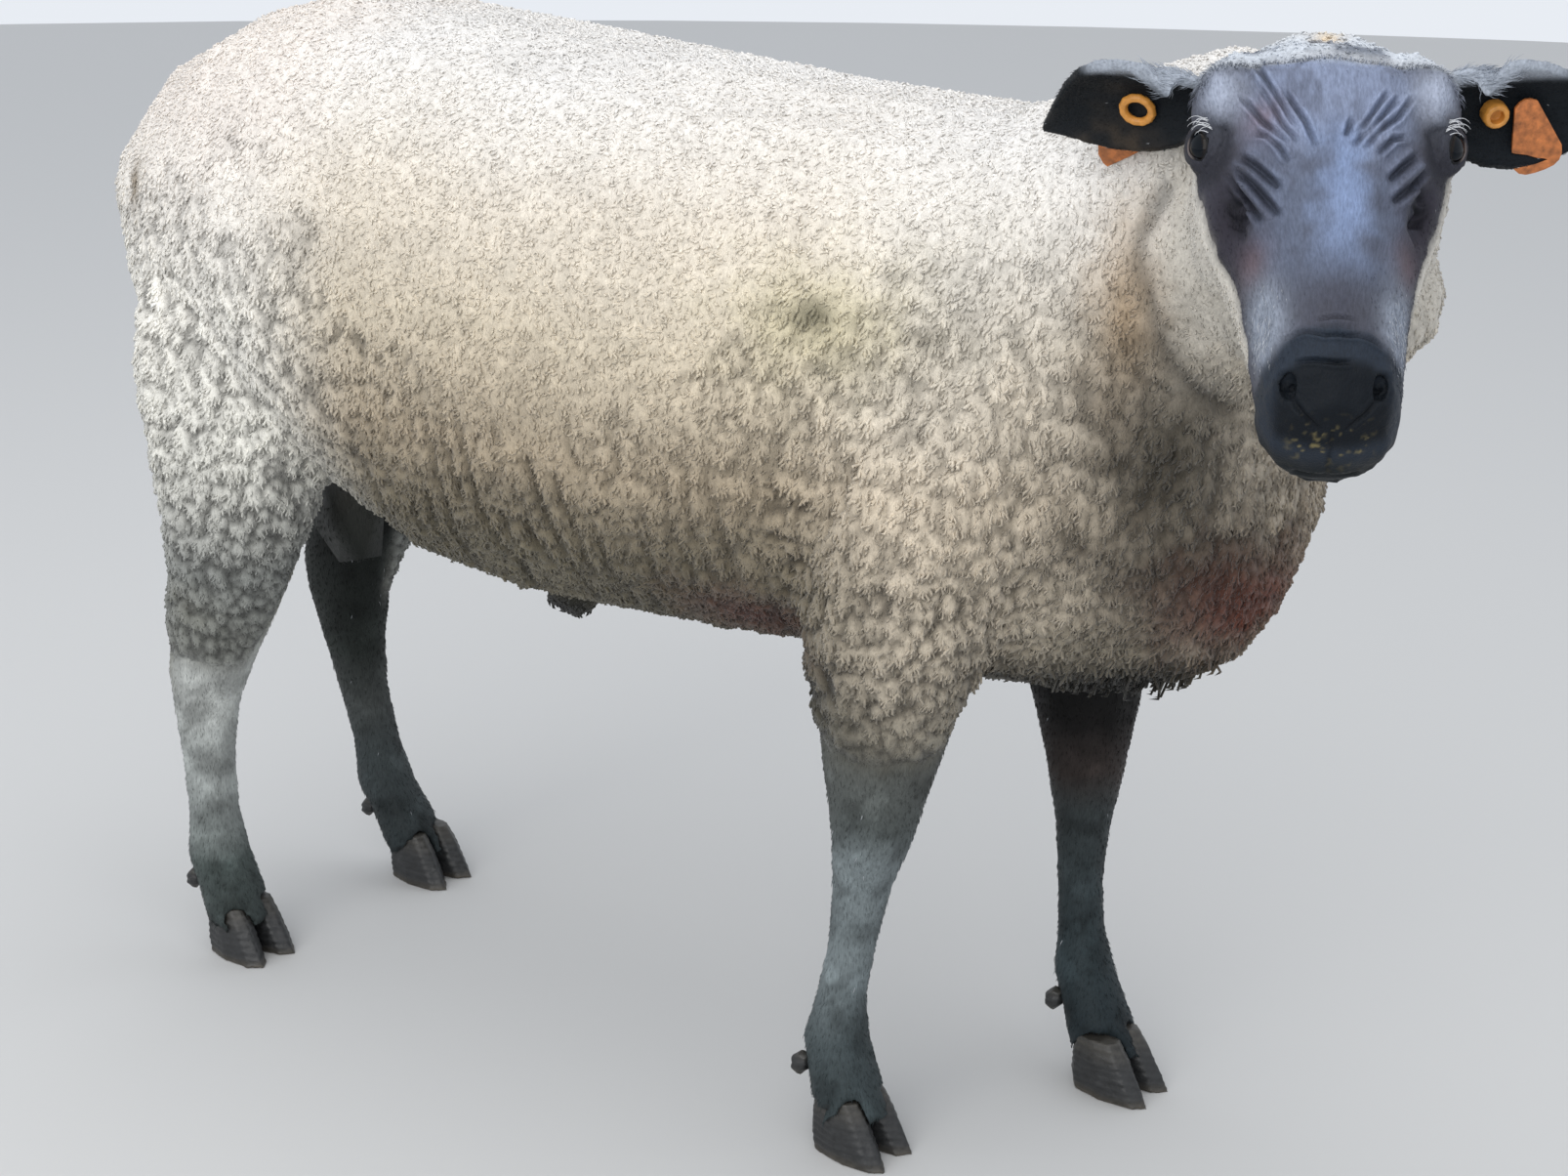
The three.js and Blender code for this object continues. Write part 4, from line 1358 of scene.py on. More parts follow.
        # a painted highlight along the upper edge of each ear
        rim = ease(z + 3.0 * wander, 9.0, 15.0) * ease(side, 104.0, 78.0)
        ear = blend(paint(15, 20, 25), paint(158, 165, 176), 0.75 * rim)
        colour = blend(colour, ear, share_of(parts, Part.EAR))
        root = ease(side, 56.0, 66.0) * ease(z, 4.0, 12.0) * ease(x, -22.0, -34.0)
        return blend(colour, paint(164, 171, 182), 0.75 * root)


# ---- finishes


def plug(tree: Tree, node: bpy.types.Node, inputs: dict[str, object]) -> bpy.types.Node:
    """Sets a node's inputs.

    Args:
        tree: the material's nodes.
        node: the node.
        inputs: for each input's name its value, or the output that is linked to it.

    Returns:
        The node.
    """
    for name, value in inputs.items():
        if isinstance(value, Socket):
            tree.links.new(value, node.inputs[name])
        else:
            node.inputs[name].default_value = value
    return node


@dataclass(frozen=True)
class Finish:
    """A surface made of shader nodes.

    Attributes:
        name: the material's name.
        colour: its colour, or none when the mesh's own "marking" colours are used.
        roughness: its middle roughness.
        uneven: how far the roughness wanders from that.
        mottle: how much fine noise lightens and darkens the colour.
        mottle_size: the size of that noise, in metres.
        bump: the height of the bumps, in metres.
        bump_size: the size of the bumps, in metres.
        strands: whether the bumps follow the lie of the hair, stored on the mesh.
        sheen: the strength of the soft glow at the edges.
        coat: the strength of a clear gloss on top.
        specular: the strength of the plain reflection.
        drawn: how much longer the noises are upward than across.
        curl: how much the noises swirl.
    """

    name: str
    colour: Shade | None = None
    roughness: float = 0.6
    uneven: float = 0.1
    mottle: float = 0.12
    mottle_size: float = 0.004
    bump: float = 0.0002
    bump_size: float = 0.002
    strands: bool = False
    sheen: float = 0.0
    coat: float = 0.0
    specular: float = 0.5
    drawn: float = 1.0
    curl: float = 0.0

    def material(self) -> Material:
        """Makes the material's nodes.

        Returns:
            The material.
        """
        material = bpy.data.materials.new(self.name)
        material.use_nodes = True
        tree = material.node_tree
        place = self._place(tree)
        fine = self._noise(tree, place, self.mottle_size, 4.0)
        rough = (self.roughness - self.uneven, self.roughness + self.uneven)
        bump = plug(tree, tree.nodes.new("ShaderNodeBump"), {
            "Strength": 0.9,
            "Distance": self.bump,
            "Height": self._noise(tree, place, self.bump_size, 3.0),
        })
        plug(tree, tree.nodes["Principled BSDF"], {
            "Sheen Weight": self.sheen,
            "Sheen Roughness": 0.5,
            "Coat Weight": self.coat,
            "Coat Roughness": 0.06,
            "Specular IOR Level": self.specular,
            "Base Color": self._coloured(tree, fine),
            "Roughness": self._range(tree, fine, *rough),
            "Normal": bump.outputs["Normal"],
        })
        return material

    def _stored(self, tree: Tree, name: str) -> bpy.types.Node:
        """A node that reads what the mesh stores under a name."""
        attribute = tree.nodes.new("ShaderNodeAttribute")
        attribute.attribute_name = name
        return attribute

    def _place(self, tree: Tree) -> Socket:
        """Where the noises are read: in space, or along the hair.

        Args:
            tree: the material's nodes.

        Returns:
            The output that gives places.
        """
        if self.strands:
            return self._stored(tree, "lie").outputs["Vector"]
        return plug(tree, tree.nodes.new("ShaderNodeMapping"), {
            "Scale": (1.0, 1.0, 1.0 / self.drawn),
            "Vector": tree.nodes.new("ShaderNodeTexCoord").outputs["Object"],
        }).outputs["Vector"]

    def _noise(self, tree: Tree, place: Socket, size: float, detail: float) -> Socket:
        """Adds a noise of one size.

        Args:
            tree: the material's nodes.
            place: the output that gives places.
            size: the noise's size, in the units of the places.
            detail: how many finer noises it holds.

        Returns:
            Its output.
        """
        return plug(tree, tree.nodes.new("ShaderNodeTexNoise"), {
            "Scale": 1.0 / size,
            "Detail": detail,
            "Roughness": 0.6,
            "Distortion": self.curl,
            "Vector": place,
        }).outputs["Fac"]

    def _range(self, tree: Tree, value: Socket, low: float, high: float) -> Socket:
        """Stretches a noise to a range.

        Args:
            tree: the material's nodes.
            value: the noise's output.
            low: the range's low end.
            high: its high end.

        Returns:
            The output.
        """
        return plug(tree, tree.nodes.new("ShaderNodeMapRange"), {
            "From Min": 0.3,
            "From Max": 0.7,
            "To Min": low,
            "To Max": high,
            "Value": value,
        }).outputs["Result"]

    def _coloured(self, tree: Tree, fine: Socket) -> Socket:
        """Multiplies the colour by the noise.

        Args:
            tree: the material's nodes.
            fine: the noise's output.

        Returns:
            The output.
        """
        if self.colour is None:
            colour = self._stored(tree, "marking").outputs["Color"]
        else:
            colour = (*paint(*self.colour), 1.0)
        mix = tree.nodes.new("ShaderNodeMix")
        mix.data_type = "RGBA"
        mix.blend_type = "MULTIPLY"
        return plug(tree, mix, {
            "Factor": 1.0,
            "A": colour,
            "B": self._range(tree, fine, 1.0 - self.mottle, 1.0 + self.mottle),
        }).outputs["Result"]


SKIN_FINISH = Finish("skin and short hair", roughness=0.55, uneven=0.12, mottle=0.22, mottle_size=1.3,
                     bump=0.0006, bump_size=1.1, strands=True, sheen=0.02, specular=0.12)
WOOL_FINISH = Finish("wool", roughness=0.9, uneven=0.05, mottle=0.2, mottle_size=0.0024, bump=0.0008,
                     bump_size=0.0018, sheen=0.2, specular=0.08, drawn=2.0, curl=1.4)
HAIR_FINISH = Finish("short hair", roughness=0.5, uneven=0.1, mottle=0.15, mottle_size=0.003, bump=0.0001,
                     bump_size=0.001, sheen=0.02, specular=0.12)
EYE_FINISH = Finish("wet eye", roughness=0.12, uneven=0.03, mottle=0.1, mottle_size=0.001, bump=0.00001,
                    bump_size=0.002, coat=0.12, specular=0.12)
LID_FINISH = Finish("eyelid rim", roughness=0.35, uneven=0.08, mottle=0.2, mottle_size=0.0012, bump=0.00015,
                    bump_size=0.0008, specular=0.15)
HORN_FINISH = Finish("hoof horn", roughness=0.48, uneven=0.12, mottle=0.35, mottle_size=0.005, bump=0.0004,
                     bump_size=0.0022)
AMBER_FINISH = Finish("amber tag plastic", (196, 134, 58), roughness=0.4, uneven=0.08, mottle=0.22,
                      mottle_size=0.004, bump=0.0001, bump_size=0.0015)
ORANGE_FINISH = Finish("orange tag plastic", (168, 100, 52), roughness=0.5, uneven=0.08, mottle=0.5,
                       mottle_size=0.005, bump=0.0001, bump_size=0.0012)


# ---- places on the skin


def scatter(skin: Surface, spacing: float, weight: Array, seed: int) -> Surface:
    """Picks one place in each small cell of space that a surface passes through.

    Args:
        skin: the surface.
        spacing: the size of the cells.
        weight: for each of the surface's vertices, how much is wanted there: none at 0, all at 1.
        seed: the number that starts the random choice.

    Returns:
        The places.
    """
    generator = np.random.default_rng(seed)
    corners = skin.points[skin.triangles]
    one, two = corners[:, 1] - corners[:, 0], corners[:, 2] - corners[:, 0]
    size = np.linalg.norm(np.cross(one, two), axis=1) / 2.0
    size = size * (weight[skin.triangles].max(axis=1) > 0.02)
    count = int(5.0 * size.sum() / spacing**2)
    chosen = generator.choice(len(size), count, p=size / size.sum())
    part = np.sqrt(generator.random(count))
    other = generator.random(count)
    mix = np.stack([1.0 - part, part * (1.0 - other), part * other], axis=1)

    def between(values: Array) -> Array:
        """The vertices' values, mixed at each place."""
        at = values[skin.triangles[chosen]]
        return (at * (mix if values.ndim == 1 else mix[:, :, None])).sum(axis=1)

    points = between(skin.points)
    cells = np.floor(points / spacing).astype(np.int64)
    _, first = np.unique(cells, axis=0, return_index=True)
    kept = first[generator.random(len(first)) < between(weight)[first]]
    fields = [between(values) for values in (skin.parts, skin.wool, skin.depth, skin.notes)]
    return Surface(points, none(), unit(between(skin.normals)), *fields).only(kept)


class Unwrap:
    """A flat map of the skin's shape, which gives each tuft its own place in it."""

    def __init__(self, skin: Skin, faces: int = 9000) -> None:
        """Unwraps a coarser copy of the skin.

        Args:
            skin: the skin.
            faces: about how many faces the copy has.
        """
        thing = add_object("unwrap", new_mesh("unwrap", skin.points, [skin.triangles]))
        decimate = thing.modifiers.new("coarse", "DECIMATE")
        decimate.ratio = faces / len(skin.triangles)
        thing.data = evaluated_mesh(thing)
        thing.modifiers.clear()
        bpy.context.view_layer.objects.active = thing
        thing.select_set(True)
        bpy.ops.object.mode_set(mode="EDIT")
        bpy.ops.mesh.select_all(action="SELECT")
        bpy.ops.uv.smart_project(angle_limit=math.radians(66.0), island_margin=0.003)
        bpy.ops.object.mode_set(mode="OBJECT")
        self.points, self.triangles = mesh_arrays(thing.data)
        loops = np.empty(len(thing.data.loop_triangles) * 3, dtype=np.int64)
        thing.data.loop_triangles.foreach_get("loops", loops)
        flat = np.empty(len(thing.data.loops) * 2)
        thing.data.uv_layers.active.data.foreach_get("uv", flat)
        self.flat = flat.reshape(-1, 2)[loops.reshape(-1, 3)]
        self.tree = BVHTree.FromPolygons(self.points.tolist(), self.triangles.tolist())
        bpy.data.objects.remove(thing)

    def places_of(self, roots: Array) -> Array:
        """Each root's own place on the flat map."""
        return self._flatten(roots, self._faces_near(roots))

    def map_faces(self, mesh: Mesh, corners: Array) -> None:
        """Gives a mesh its flat map.

        Args:
            mesh: the mesh.
            corners: its triangles, each of three places.
        """
        near = self._faces_near(corners.mean(axis=1))
        flat = np.stack([self._flatten(corners[:, k], near) for k in range(3)], axis=1)
        set_flat_map(mesh, flat.reshape(-1, 2))

    def _faces_near(self, places: Array) -> Array:
        """The number of the copy's face nearest to each place."""
        return np.array([self.tree.find_nearest(Vector(place))[2] for place in places])

    def _flatten(self, places: Array, faces: Array) -> Array:
        """Places as places of the flat map, each read off one face's plane.

        Args:
            places: places of the model.
            faces: the face for each.

        Returns:
            Two numbers for each place.
        """
        a, b, c = (self.points[self.triangles[faces, k]] for k in range(3))
        one, two, away = b - a, c - a, places - a
        aa, ab, bb = (one * one).sum(1), (one * two).sum(1), (two * two).sum(1)
        pa, pb = (away * one).sum(1), (away * two).sum(1)
        scale = np.maximum(aa * bb - ab * ab, 1e-18)
        v, w = (bb * pa - ab * pb) / scale, (aa * pb - ab * pa) / scale
        flat = self.flat[faces]
        return flat[:, 0] + v[:, None] * (flat[:, 1] - flat[:, 0]) + w[:, None] * (flat[:, 2] - flat[:, 0])


def set_flat_map(mesh: Mesh, flat: Array) -> None:
    """Stores two numbers for each corner of each face as the mesh's flat map."""
    layer = mesh.uv_layers.new(name="OFBake")
    layer.data.foreach_set("uv", np.clip(flat, 0.0, 1.0).astype(np.float32).ravel())


# ---- tufts


@dataclass(frozen=True)
class Tufts:
    """Many three-sided tufts, each a few rings along a bent line that ends in a point.

    Attributes:
        lines: the middles of the rings of each tuft.
        radii: the radius of each ring.
        across: a direction across each tuft, which turns its rings.
        colours: the colour of each ring.
        flat: each tuft's place on the flat map.
    """

    lines: Array
    radii: Array
    across: Array
    colours: Array
    flat: Array

    def pieces(self, name: str, material: Material, slot: str) -> None:
        """Makes the tufts' objects, each with no more triangles than a piece may hold.

        Args:
            name: the start of the objects' names.
            material: their material.
            slot: the record's slot for them.
        """
        most = PIECE_TRIANGLES // (6 * (self.lines.shape[1] - 2) + 3)
        order = np.argsort(self.lines[:, 0, 0])
        shares = np.array_split(order, math.ceil(len(order) / most))
        for number, chosen in enumerate(shares, start=1):
            ride(add_object(f"{name}_{number}", self._mesh(f"{name} {number}", chosen), material), slot)

    def _mesh(self, name: str, chosen: Array) -> Mesh:
        """The mesh of some of the tufts.

        Args:
            name: the mesh's name.
            chosen: the numbers of the tufts.

        Returns:
            The mesh.
        """
        lines, radii = self.lines[chosen], self.radii[chosen]
        count, rings = radii.shape
        solid = rings - 1
        axis = unit(np.gradient(lines, axis=1))
        across = self.across[chosen][:, None, :]
        across = unit(across - (across * axis).sum(axis=2, keepdims=True) * axis)
        other = np.cross(axis, across)
        turn = np.arange(3) * 2.0 * math.pi / 3.0
        spoke = across[:, :, None] * np.cos(turn)[:, None] + other[:, :, None] * np.sin(turn)[:, None]
        points = (lines[:, :, None] + radii[:, :, None, None] * spoke)[:, :solid].reshape(count, -1, 3)
        points = np.concatenate([points, lines[:, -1:]], axis=1)
        starts = (np.arange(count) * points.shape[1])[:, None, None]
        side, after = np.arange(3), (np.arange(3) + 1) % 3
        top = 3 * (solid - 1)
        cap = np.stack([top + side, top + after, np.full(3, 3 * solid)], axis=1)
        quads = (ring_quads(solid, 3)[None] + starts).reshape(-1, 4)
        cap = (cap[None] + starts).reshape(-1, 3)
        mesh = new_mesh(name, points.reshape(-1, 3), [quads, cap])
        colours = np.repeat(self.colours[chosen][:, :solid], 3, axis=1)
        colours = np.concatenate([colours, self.colours[chosen][:, -1:]], axis=1)
        spread = np.repeat(np.linspace(1.0, 0.4, solid), 3)[None, :, None]
        ring = np.tile(np.stack([np.cos(turn), np.sin(turn)], axis=1), (solid, 1))[None]
        flat = self.flat[chosen][:, None] + PATCH_RADIUS * spread * ring
        flat = np.concatenate([flat, self.flat[chosen][:, None]], axis=1)
        set_colour(mesh, colours.reshape(-1, 3))
        corners = np.concatenate([quads.ravel(), cap.ravel()])
        set_flat_map(mesh, flat.reshape(-1, 2)[corners])
        return mesh


# ---- the skin, shown


@dataclass
class Cover:
    """What covers the animal: something that follows the skin and takes its colours from the markings.

    Attributes:
        skin: the skin.
        markings: the colours.
        unwrap: the flat map.
    """

    skin: Skin
    markings: Markings
    unwrap: Unwrap

    @property
    def head(self) -> HeadFrame:
        """The head's frame."""
        return self.skin.head


@dataclass
class BareSkin(Cover):
    """The skin itself, with painted shade under the wool and in its folds, and a painted highlight on the
    folds' raised edges.

    Attributes:
        painted_shade_under_wool: painted shade under the wool, which darkens the gaps between the locks:
            shares of red, green and blue.
        fold_shade_and_ridge_highlight: how much painted shade darkens a fold; the folds' raised edges get a
            smaller painted highlight.
        drawn: how much its noises are shortened along the hair.
    """

    painted_shade_under_wool: Triple = (0.22, 0.20, 0.18)
    fold_shade_and_ridge_highlight: float = 0.38
    drawn: float = 0.22

    def build(self) -> None:
        """Puts the skin in the scene in place of the flesh solids."""
        skin = self.skin
        mesh = new_mesh("skin", skin.points, [skin.triangles])
        # painted shade under the wool and in the folds, and a painted highlight on the folds' raised edges
        shade = blend(np.ones(3), np.array(self.painted_shade_under_wool), skin.wool) * (1.0 - self.fold_shade_and_ridge_highlight * skin.notes)
        set_colour(mesh, self.markings.colour_at(skin) * shade)
        local = self.head.local(skin.points) * [self.drawn, 1.0, 1.0]
        body = skin.points / MM * [1.0, 1.0, self.drawn]
        face = share_of(skin.parts, Part.HEAD, Part.JAW, Part.EAR)
        layer = mesh.attributes.new("lie", "FLOAT_VECTOR", "POINT")
        layer.data.foreach_set("vector", blend(body, local, face).astype(np.float32).ravel())
        self.unwrap.map_faces(mesh, skin.points[skin.triangles])
        ride(add_object("skin", mesh, SKIN_FINISH.material()), "face", *FLESH)


# ---- wool


@dataclass(frozen=True)
class LockStyle:
    """How the wool gathers into locks on one region of the body.

    Attributes:
        width: the width of a lock, in metres.
        height: its height, in metres.
        slant: how far a lock leans back for each metre that it drops.
        relief: how much lower the wool is between locks, as a share of its depth.
        crack: how much painted shade darkens the wool between locks, 0 to 1.
        length: how long its curls are, in metres.
        stray: how far the curls stray from the way the wool hangs.
    """

    width: float
    height: float
    slant: float
    relief: float
    crack: float
    length: float
    stray: float


BACK = LockStyle(0.0065, 0.0090, 0.0, 0.06, 0.12, 0.0046, 1.00)
FLANK = LockStyle(0.0065, 0.0130, 0.1, 0.10, 0.22, 0.0052, 0.80)
LOW_FLANK = LockStyle(0.0085, 0.0200, 0.1, 0.30, 0.50, 0.0058, 0.60)
SHOULDER = LockStyle(0.0075, 0.0240, 0.2, 0.32, 0.52, 0.0060, 0.50)
THIGH = LockStyle(0.0090, 0.0260, 0.5, 0.42, 0.72, 0.0062, 0.50)
LEG_WOOL = LockStyle(0.0085, 0.0200, 0.2, 0.48, 0.80, 0.0058, 0.50)
NECK_WOOL = LockStyle(0.0090, 0.0230, -0.2, 0.24, 0.34, 0.0058, 0.60)
CROWN_CURLS = LockStyle(0.0080, 0.0090, 0.0, 0.08, 0.20, 0.0062, 1.20)

# The groove behind the wool of the right cheek, from the ear down to the throat, with painted shade in it.
RUFF_EDGE = np.array([
    (0.337, -0.079, 0.666), (0.323, -0.076, 0.636), (0.324, -0.075, 0.614), (0.332, -0.071, 0.588),
    (0.341, -0.059, 0.564), (0.354, -0.041, 0.544), (0.366, -0.026, 0.534),
])


def lock_cells(points: Array, style: LockStyle, salt: int) -> tuple[Array, Array]:
    """Sorts places into the locks of one style.

    Args:
        points: the places.
        style: the style.
        salt: gives another arrangement.

    Returns:
        The number of each place's lock, and how far it is from the lock's edge, from 0 to about 1.
    """
    turned = points + 0.25 * style.width * sway(points, 0.02, salt)
    turned = turned + np.array([style.slant, 0.0, 0.0]) * turned[:, 2:3]
    scaled = turned / np.array([style.width, style.width, style.height])
    base = np.floor(scaled).astype(np.int64)
    first = np.full(len(points), 1e9)
    second = np.full(len(points), 1e9)
    lock = np.zeros_like(base)
    for corner in np.ndindex(3, 3, 3):
        cell = base + np.array(corner) - 1
        jitter = np.stack([scramble(cell, salt + 5 + k) for k in range(3)], axis=1)
        distance = np.linalg.norm(scaled - (cell + 0.12 + 0.76 * jitter), axis=1)
        nearer = distance < first
        second = np.where(nearer, first, np.minimum(second, distance))
        lock = np.where(nearer[:, None], cell, lock)
        first = np.where(nearer, distance, first)
    _, number = np.unique(lock, axis=0, return_inverse=True)
    return number.ravel(), second - first


@dataclass
class Fleece(Cover):
    """The wool: a mat shaped into locks over the skin, and small pointed curls all over the mat.

    Attributes:
        grain: the size of the mat's faces, in metres.
        spacing: how far apart the curls are, in metres.
        most: the most curls that there may be.
        crack_step: how far apart the upright cracks of the flanks are, in metres.
        crack_width: half a crack's width, as a share of that.
        crack_relief: how much lower the wool is in a crack, as a share of its depth.
        crack_shade: how much painted shade darkens it there, 0 to 1.
        groove_width: half the width of the groove behind the right cheek, in metres.
        groove_share: how deep that groove is, as a share of a crack.
    """

    grain: float = 0.0028
    spacing: float = 0.0032
    most: int = 104_000
    crack_step: float = 0.017
    crack_width: float = 0.17
    crack_relief: float = 0.80
    crack_shade: float = 0.96
    groove_width: float = 0.0055
    groove_share: float = 0.55

    def build(self) -> None:
        """Makes the mat and the curls."""
        material = WOOL_FINISH.material()
        mat = self._mat()
        self._show_mat(mat, material)
        self._curls(mat).pieces("wool_curls", material, "fleece")

    def _mat(self) -> Surface:
        """The mat: an even surface between the skin and the coat's tips, shaped into locks.

        Returns:
            The mat, with what is known of each vertex.
        """
        skin = self.skin
        floor = skin.points + skin.normals * (0.45 * skin.depth * skin.wool)[:, None]
        points, triangles = remeshed(floor[skin.triangles], self.grain)
        near = nearest(floor, points)
        whole = Surface(points, triangles)
        whole.parts = whole.spread(skin.parts[near], 3)
        wool = wool_share(whole, self.head)
        kept = triangles[(wool > 0.12)[triangles].any(axis=1)]
        used, compact = np.unique(kept, return_inverse=True)
        near = near[used]
        mat = Surface(points[used], compact.reshape(-1, 3))
        mat.normals = unit(mat.spread(vertex_normals(mat.points, mat.triangles), 4))
        mat.parts = mat.spread(skin.parts[near], 3)
        mat.wool = mat.spread(wool[used], 2)
        mat.depth = mat.spread(skin.depth[near], 6)
        self._shape_locks(mat)
        return mat

    def _shape_locks(self, mat: Surface) -> None:
        """Raises the mat into locks, and notes how much painted shade darkens the gaps and how light each
        lock is.

        Args:
            mat: the mat, which is changed.
        """
        styles, taken = self._styles(mat)
        generator = np.random.default_rng(5)
        inside = np.zeros(len(mat.points))
        lightness = np.zeros(len(mat.points))
        for number, style in enumerate(styles):
            here = np.nonzero(taken == number)[0]
            if len(here):
                lock, gap = lock_cells(mat.points[here], style, salt=60 + 10 * number)
                inside[here] = ease(gap, 0.0, 0.26)
                lightness[here] = generator.random(lock.max() + 1)[lock]
        relief = np.array([style.relief for style in styles])[taken]
        crack = np.array([style.crack for style in styles])[taken]
        calm = 0.30 + 0.70 * ease(mat.points[:, 2], 0.66, 0.50)
        relief, crack = relief * calm, crack * calm
        ripples = np.maximum(self._ripples(mat), self._ruff_edge(mat))
        gap = mat.spread(np.stack([
            np.maximum(relief * (1.0 - inside), self.crack_relief * ripples),
            np.maximum(crack * (1.0 - inside), self.crack_shade * ripples),
        ], axis=1), 1)
        fine = 0.05 * drift(mat.points, 0.0042, 55) + 0.04 * drift(mat.points, 0.009, 56)
        waves = 0.05 * drift(mat.points * [1.0, 1.0, 0.45], 0.018, 57)
        rise = mat.depth * (0.40 - gap[:, 0] + fine + waves) * ease(mat.wool, 0.1, 0.6)
        mat.points = mat.points + mat.normals * (rise - 0.0008 * (mat.wool < 0.5))[:, None]
        # first the painted shade in the gaps, then each lock's own lightness
        mat.notes = np.stack([gap[:, 1], lightness], axis=1)

    def _ripples(self, mat: Surface) -> Array:
        """The upright cracks in the low wool of the flanks, each broken along its length, 0 to 1.

        Args:
            mat: the mat.

        Returns:
            A number for each vertex.
        """
        points = mat.points
        wander = 0.010 * drift(points * [1.0, 1.0, 0.5], 0.05, 61) + 0.003 * drift(points, 0.016, 62)
        across = (points[:, 0] + wander) / self.crack_step
        line = np.round(across)
        broken = ease(drift(np.stack([line, 0.0 * line, points[:, 2]], axis=1), 0.040, 63), -0.10, 0.25)
        low = ease(points[:, 2], 0.53, 0.45) * share_of(mat.parts, Part.TRUNK)
        reach = ease(points[:, 0], 0.16, 0.12) * ease(points[:, 0], -0.36, -0.32)
        return bell(across - line, self.crack_width) * broken * low * reach

    def _ruff_edge(self, mat: Surface) -> Array:
        """The groove between the wool of the right cheek and the wool of the neck behind it, 0 to 1.

        Args:
            mat: the mat.

        Returns:
            A number for each vertex.
        """
        shares = np.zeros(len(mat.points))
        near = np.nonzero(np.linalg.norm(mat.points - RUFF_EDGE[3], axis=1) < 0.14)[0]
        points = mat.points[near]
        points = points + 0.003 * sway(points, 0.02, 64)
        away, _ = polyline_distance(points, RUFF_EDGE, mat.normals[near])
        shares[near] = self.groove_share * bell(away, self.groove_width)
        return shares

    def _show_mat(self, mat: Surface, material: Material) -> None:
        """Puts the mat in the scene in pieces.

        Args:
            mat: the mat.
            material: its material.
        """
        # the mat is painted darker than the curls: painted shade under them
        colours = self._colours(mat) * 0.88
        order = np.argsort(mat.points[mat.triangles[:, 0], 0])
        pieces = np.array_split(order, math.ceil(len(order) / PIECE_TRIANGLES))
        for number, chosen in enumerate(pieces, start=1):
            used, compact = np.unique(mat.triangles[chosen], return_inverse=True)
            triangles = compact.reshape(-1, 3)
            mesh = new_mesh(f"wool mat {number}", mat.points[used], [triangles])
            set_colour(mesh, colours[used])
            self.unwrap.map_faces(mesh, mat.points[used][triangles])
            ride(add_object(f"wool_mat_{number}", mesh, material), "fleece")

    def _styles(self, where: Surface) -> tuple[list[LockStyle], Array]:
        """The styles, and which of them each place takes.

        Args:
            where: the places.

        Returns:
            The styles, and the number of each place's style.
        """
        points, parts = where.points, where.parts
        local = self.head.local(points)
        ragged = 0.05 * drift(points, 0.05, 51) + 0.02 * drift(points, 0.012, 52)
        height = points[:, 2] + ragged
        along = points[:, 0] + ragged
        weights = {
            BACK: 0.6 + 6.0 * (height - 0.575),
            FLANK: np.full(len(points), 0.5) - 3.0 * np.abs(height - 0.53),
            LOW_FLANK: 0.55 + 6.0 * (0.455 - height),
            SHOULDER: 1.0 - 9.0 * np.maximum(0.13 - along, 0.0) - 5.0 * np.maximum(height - 0.56, 0.0),
            THIGH: 1.0 - 9.0 * np.maximum(along + 0.26, 0.0) - 5.0 * np.maximum(height - 0.58, 0.0),
            LEG_WOOL: 1.4 * share_of(parts, Part.UPPER) + 5.0 * (0.37 - height),
            NECK_WOOL: 1.6 * share_of(parts, Part.NECK) - 4.0 * np.maximum(height - 0.66, 0.0),
            CROWN_CURLS: 3.0 * share_of(parts, Part.HEAD) * ease(local[:, 0], -15.0, -45.0),
        }
        return list(weights), np.argmax(np.stack(list(weights.values())), axis=0)

    def _curls(self, mat: Surface) -> Tufts:
        """Shapes and colours the curls on the mat.

        Args:
            mat: the mat.

        Returns:
            The curls.
        """
        roots = scatter(mat, self.spacing, np.clip(2.4 * mat.wool - 0.2, 0.0, 1.0), seed=3)
        generator = np.random.default_rng(4)
        if len(roots.points) > self.most:
            roots = roots.only(np.sort(generator.permutation(len(roots.points))[: self.most]))
        count, normals = len(roots.points), roots.normals
        top = ease(normals[:, 2], 0.5, 0.9)
        wander = generator.normal(size=(count, 3))
        wander = unit(along_surface(wander, normals))
        styles, taken = self._styles(roots)
        stray = np.array([style.stray for style in styles])[taken]
        lie = unit(self._down(roots) * (1.0 - 0.5 * top)[:, None] + stray[:, None] * wander)
        side = np.cross(normals, lie)
        length = np.array([style.length for style in styles])[taken] * generator.uniform(0.7, 1.25, count)
        length = length * np.clip(roots.depth / 0.010, 0.35, 1.0) * (1.0 - 0.6 * roots.notes[:, 0])
        ragged = self._ragged(roots) * generator.random(count) ** 2
        length = length * (1.0 + 1.6 * ragged)
        rise = generator.uniform(0.06, 0.28, count) + 0.9 * ragged
        bend = generator.uniform(-0.26, 0.26, count)
        middles = lie * 0.55 + side * bend[:, None] + normals * (0.80 * rise)[:, None]
        tips = lie * 0.95 - side * (0.4 * bend)[:, None] + normals * (0.75 * rise)[:, None]
        lines = np.stack([
            roots.points - normals * 0.0006,
            roots.points + middles * length[:, None],
            roots.points + tips * length[:, None],
        ], axis=1)
        girth = np.clip(0.19 * length, 0.0005, 0.00115) * generator.uniform(0.8, 1.2, count)
        radii = girth[:, None] * np.array([1.0, 0.95, 0.0])
        colour = self._colours(roots) * generator.uniform(0.93, 1.07, count)[:, None]
        # painted shade: each curl darker at its root and lighter at its tip
        colours = np.stack([colour * 0.86, colour, colour * 1.04], axis=1).clip(0.0, 0.96)
        return Tufts(lines, radii, side, colours, self.unwrap.places_of(roots.points))

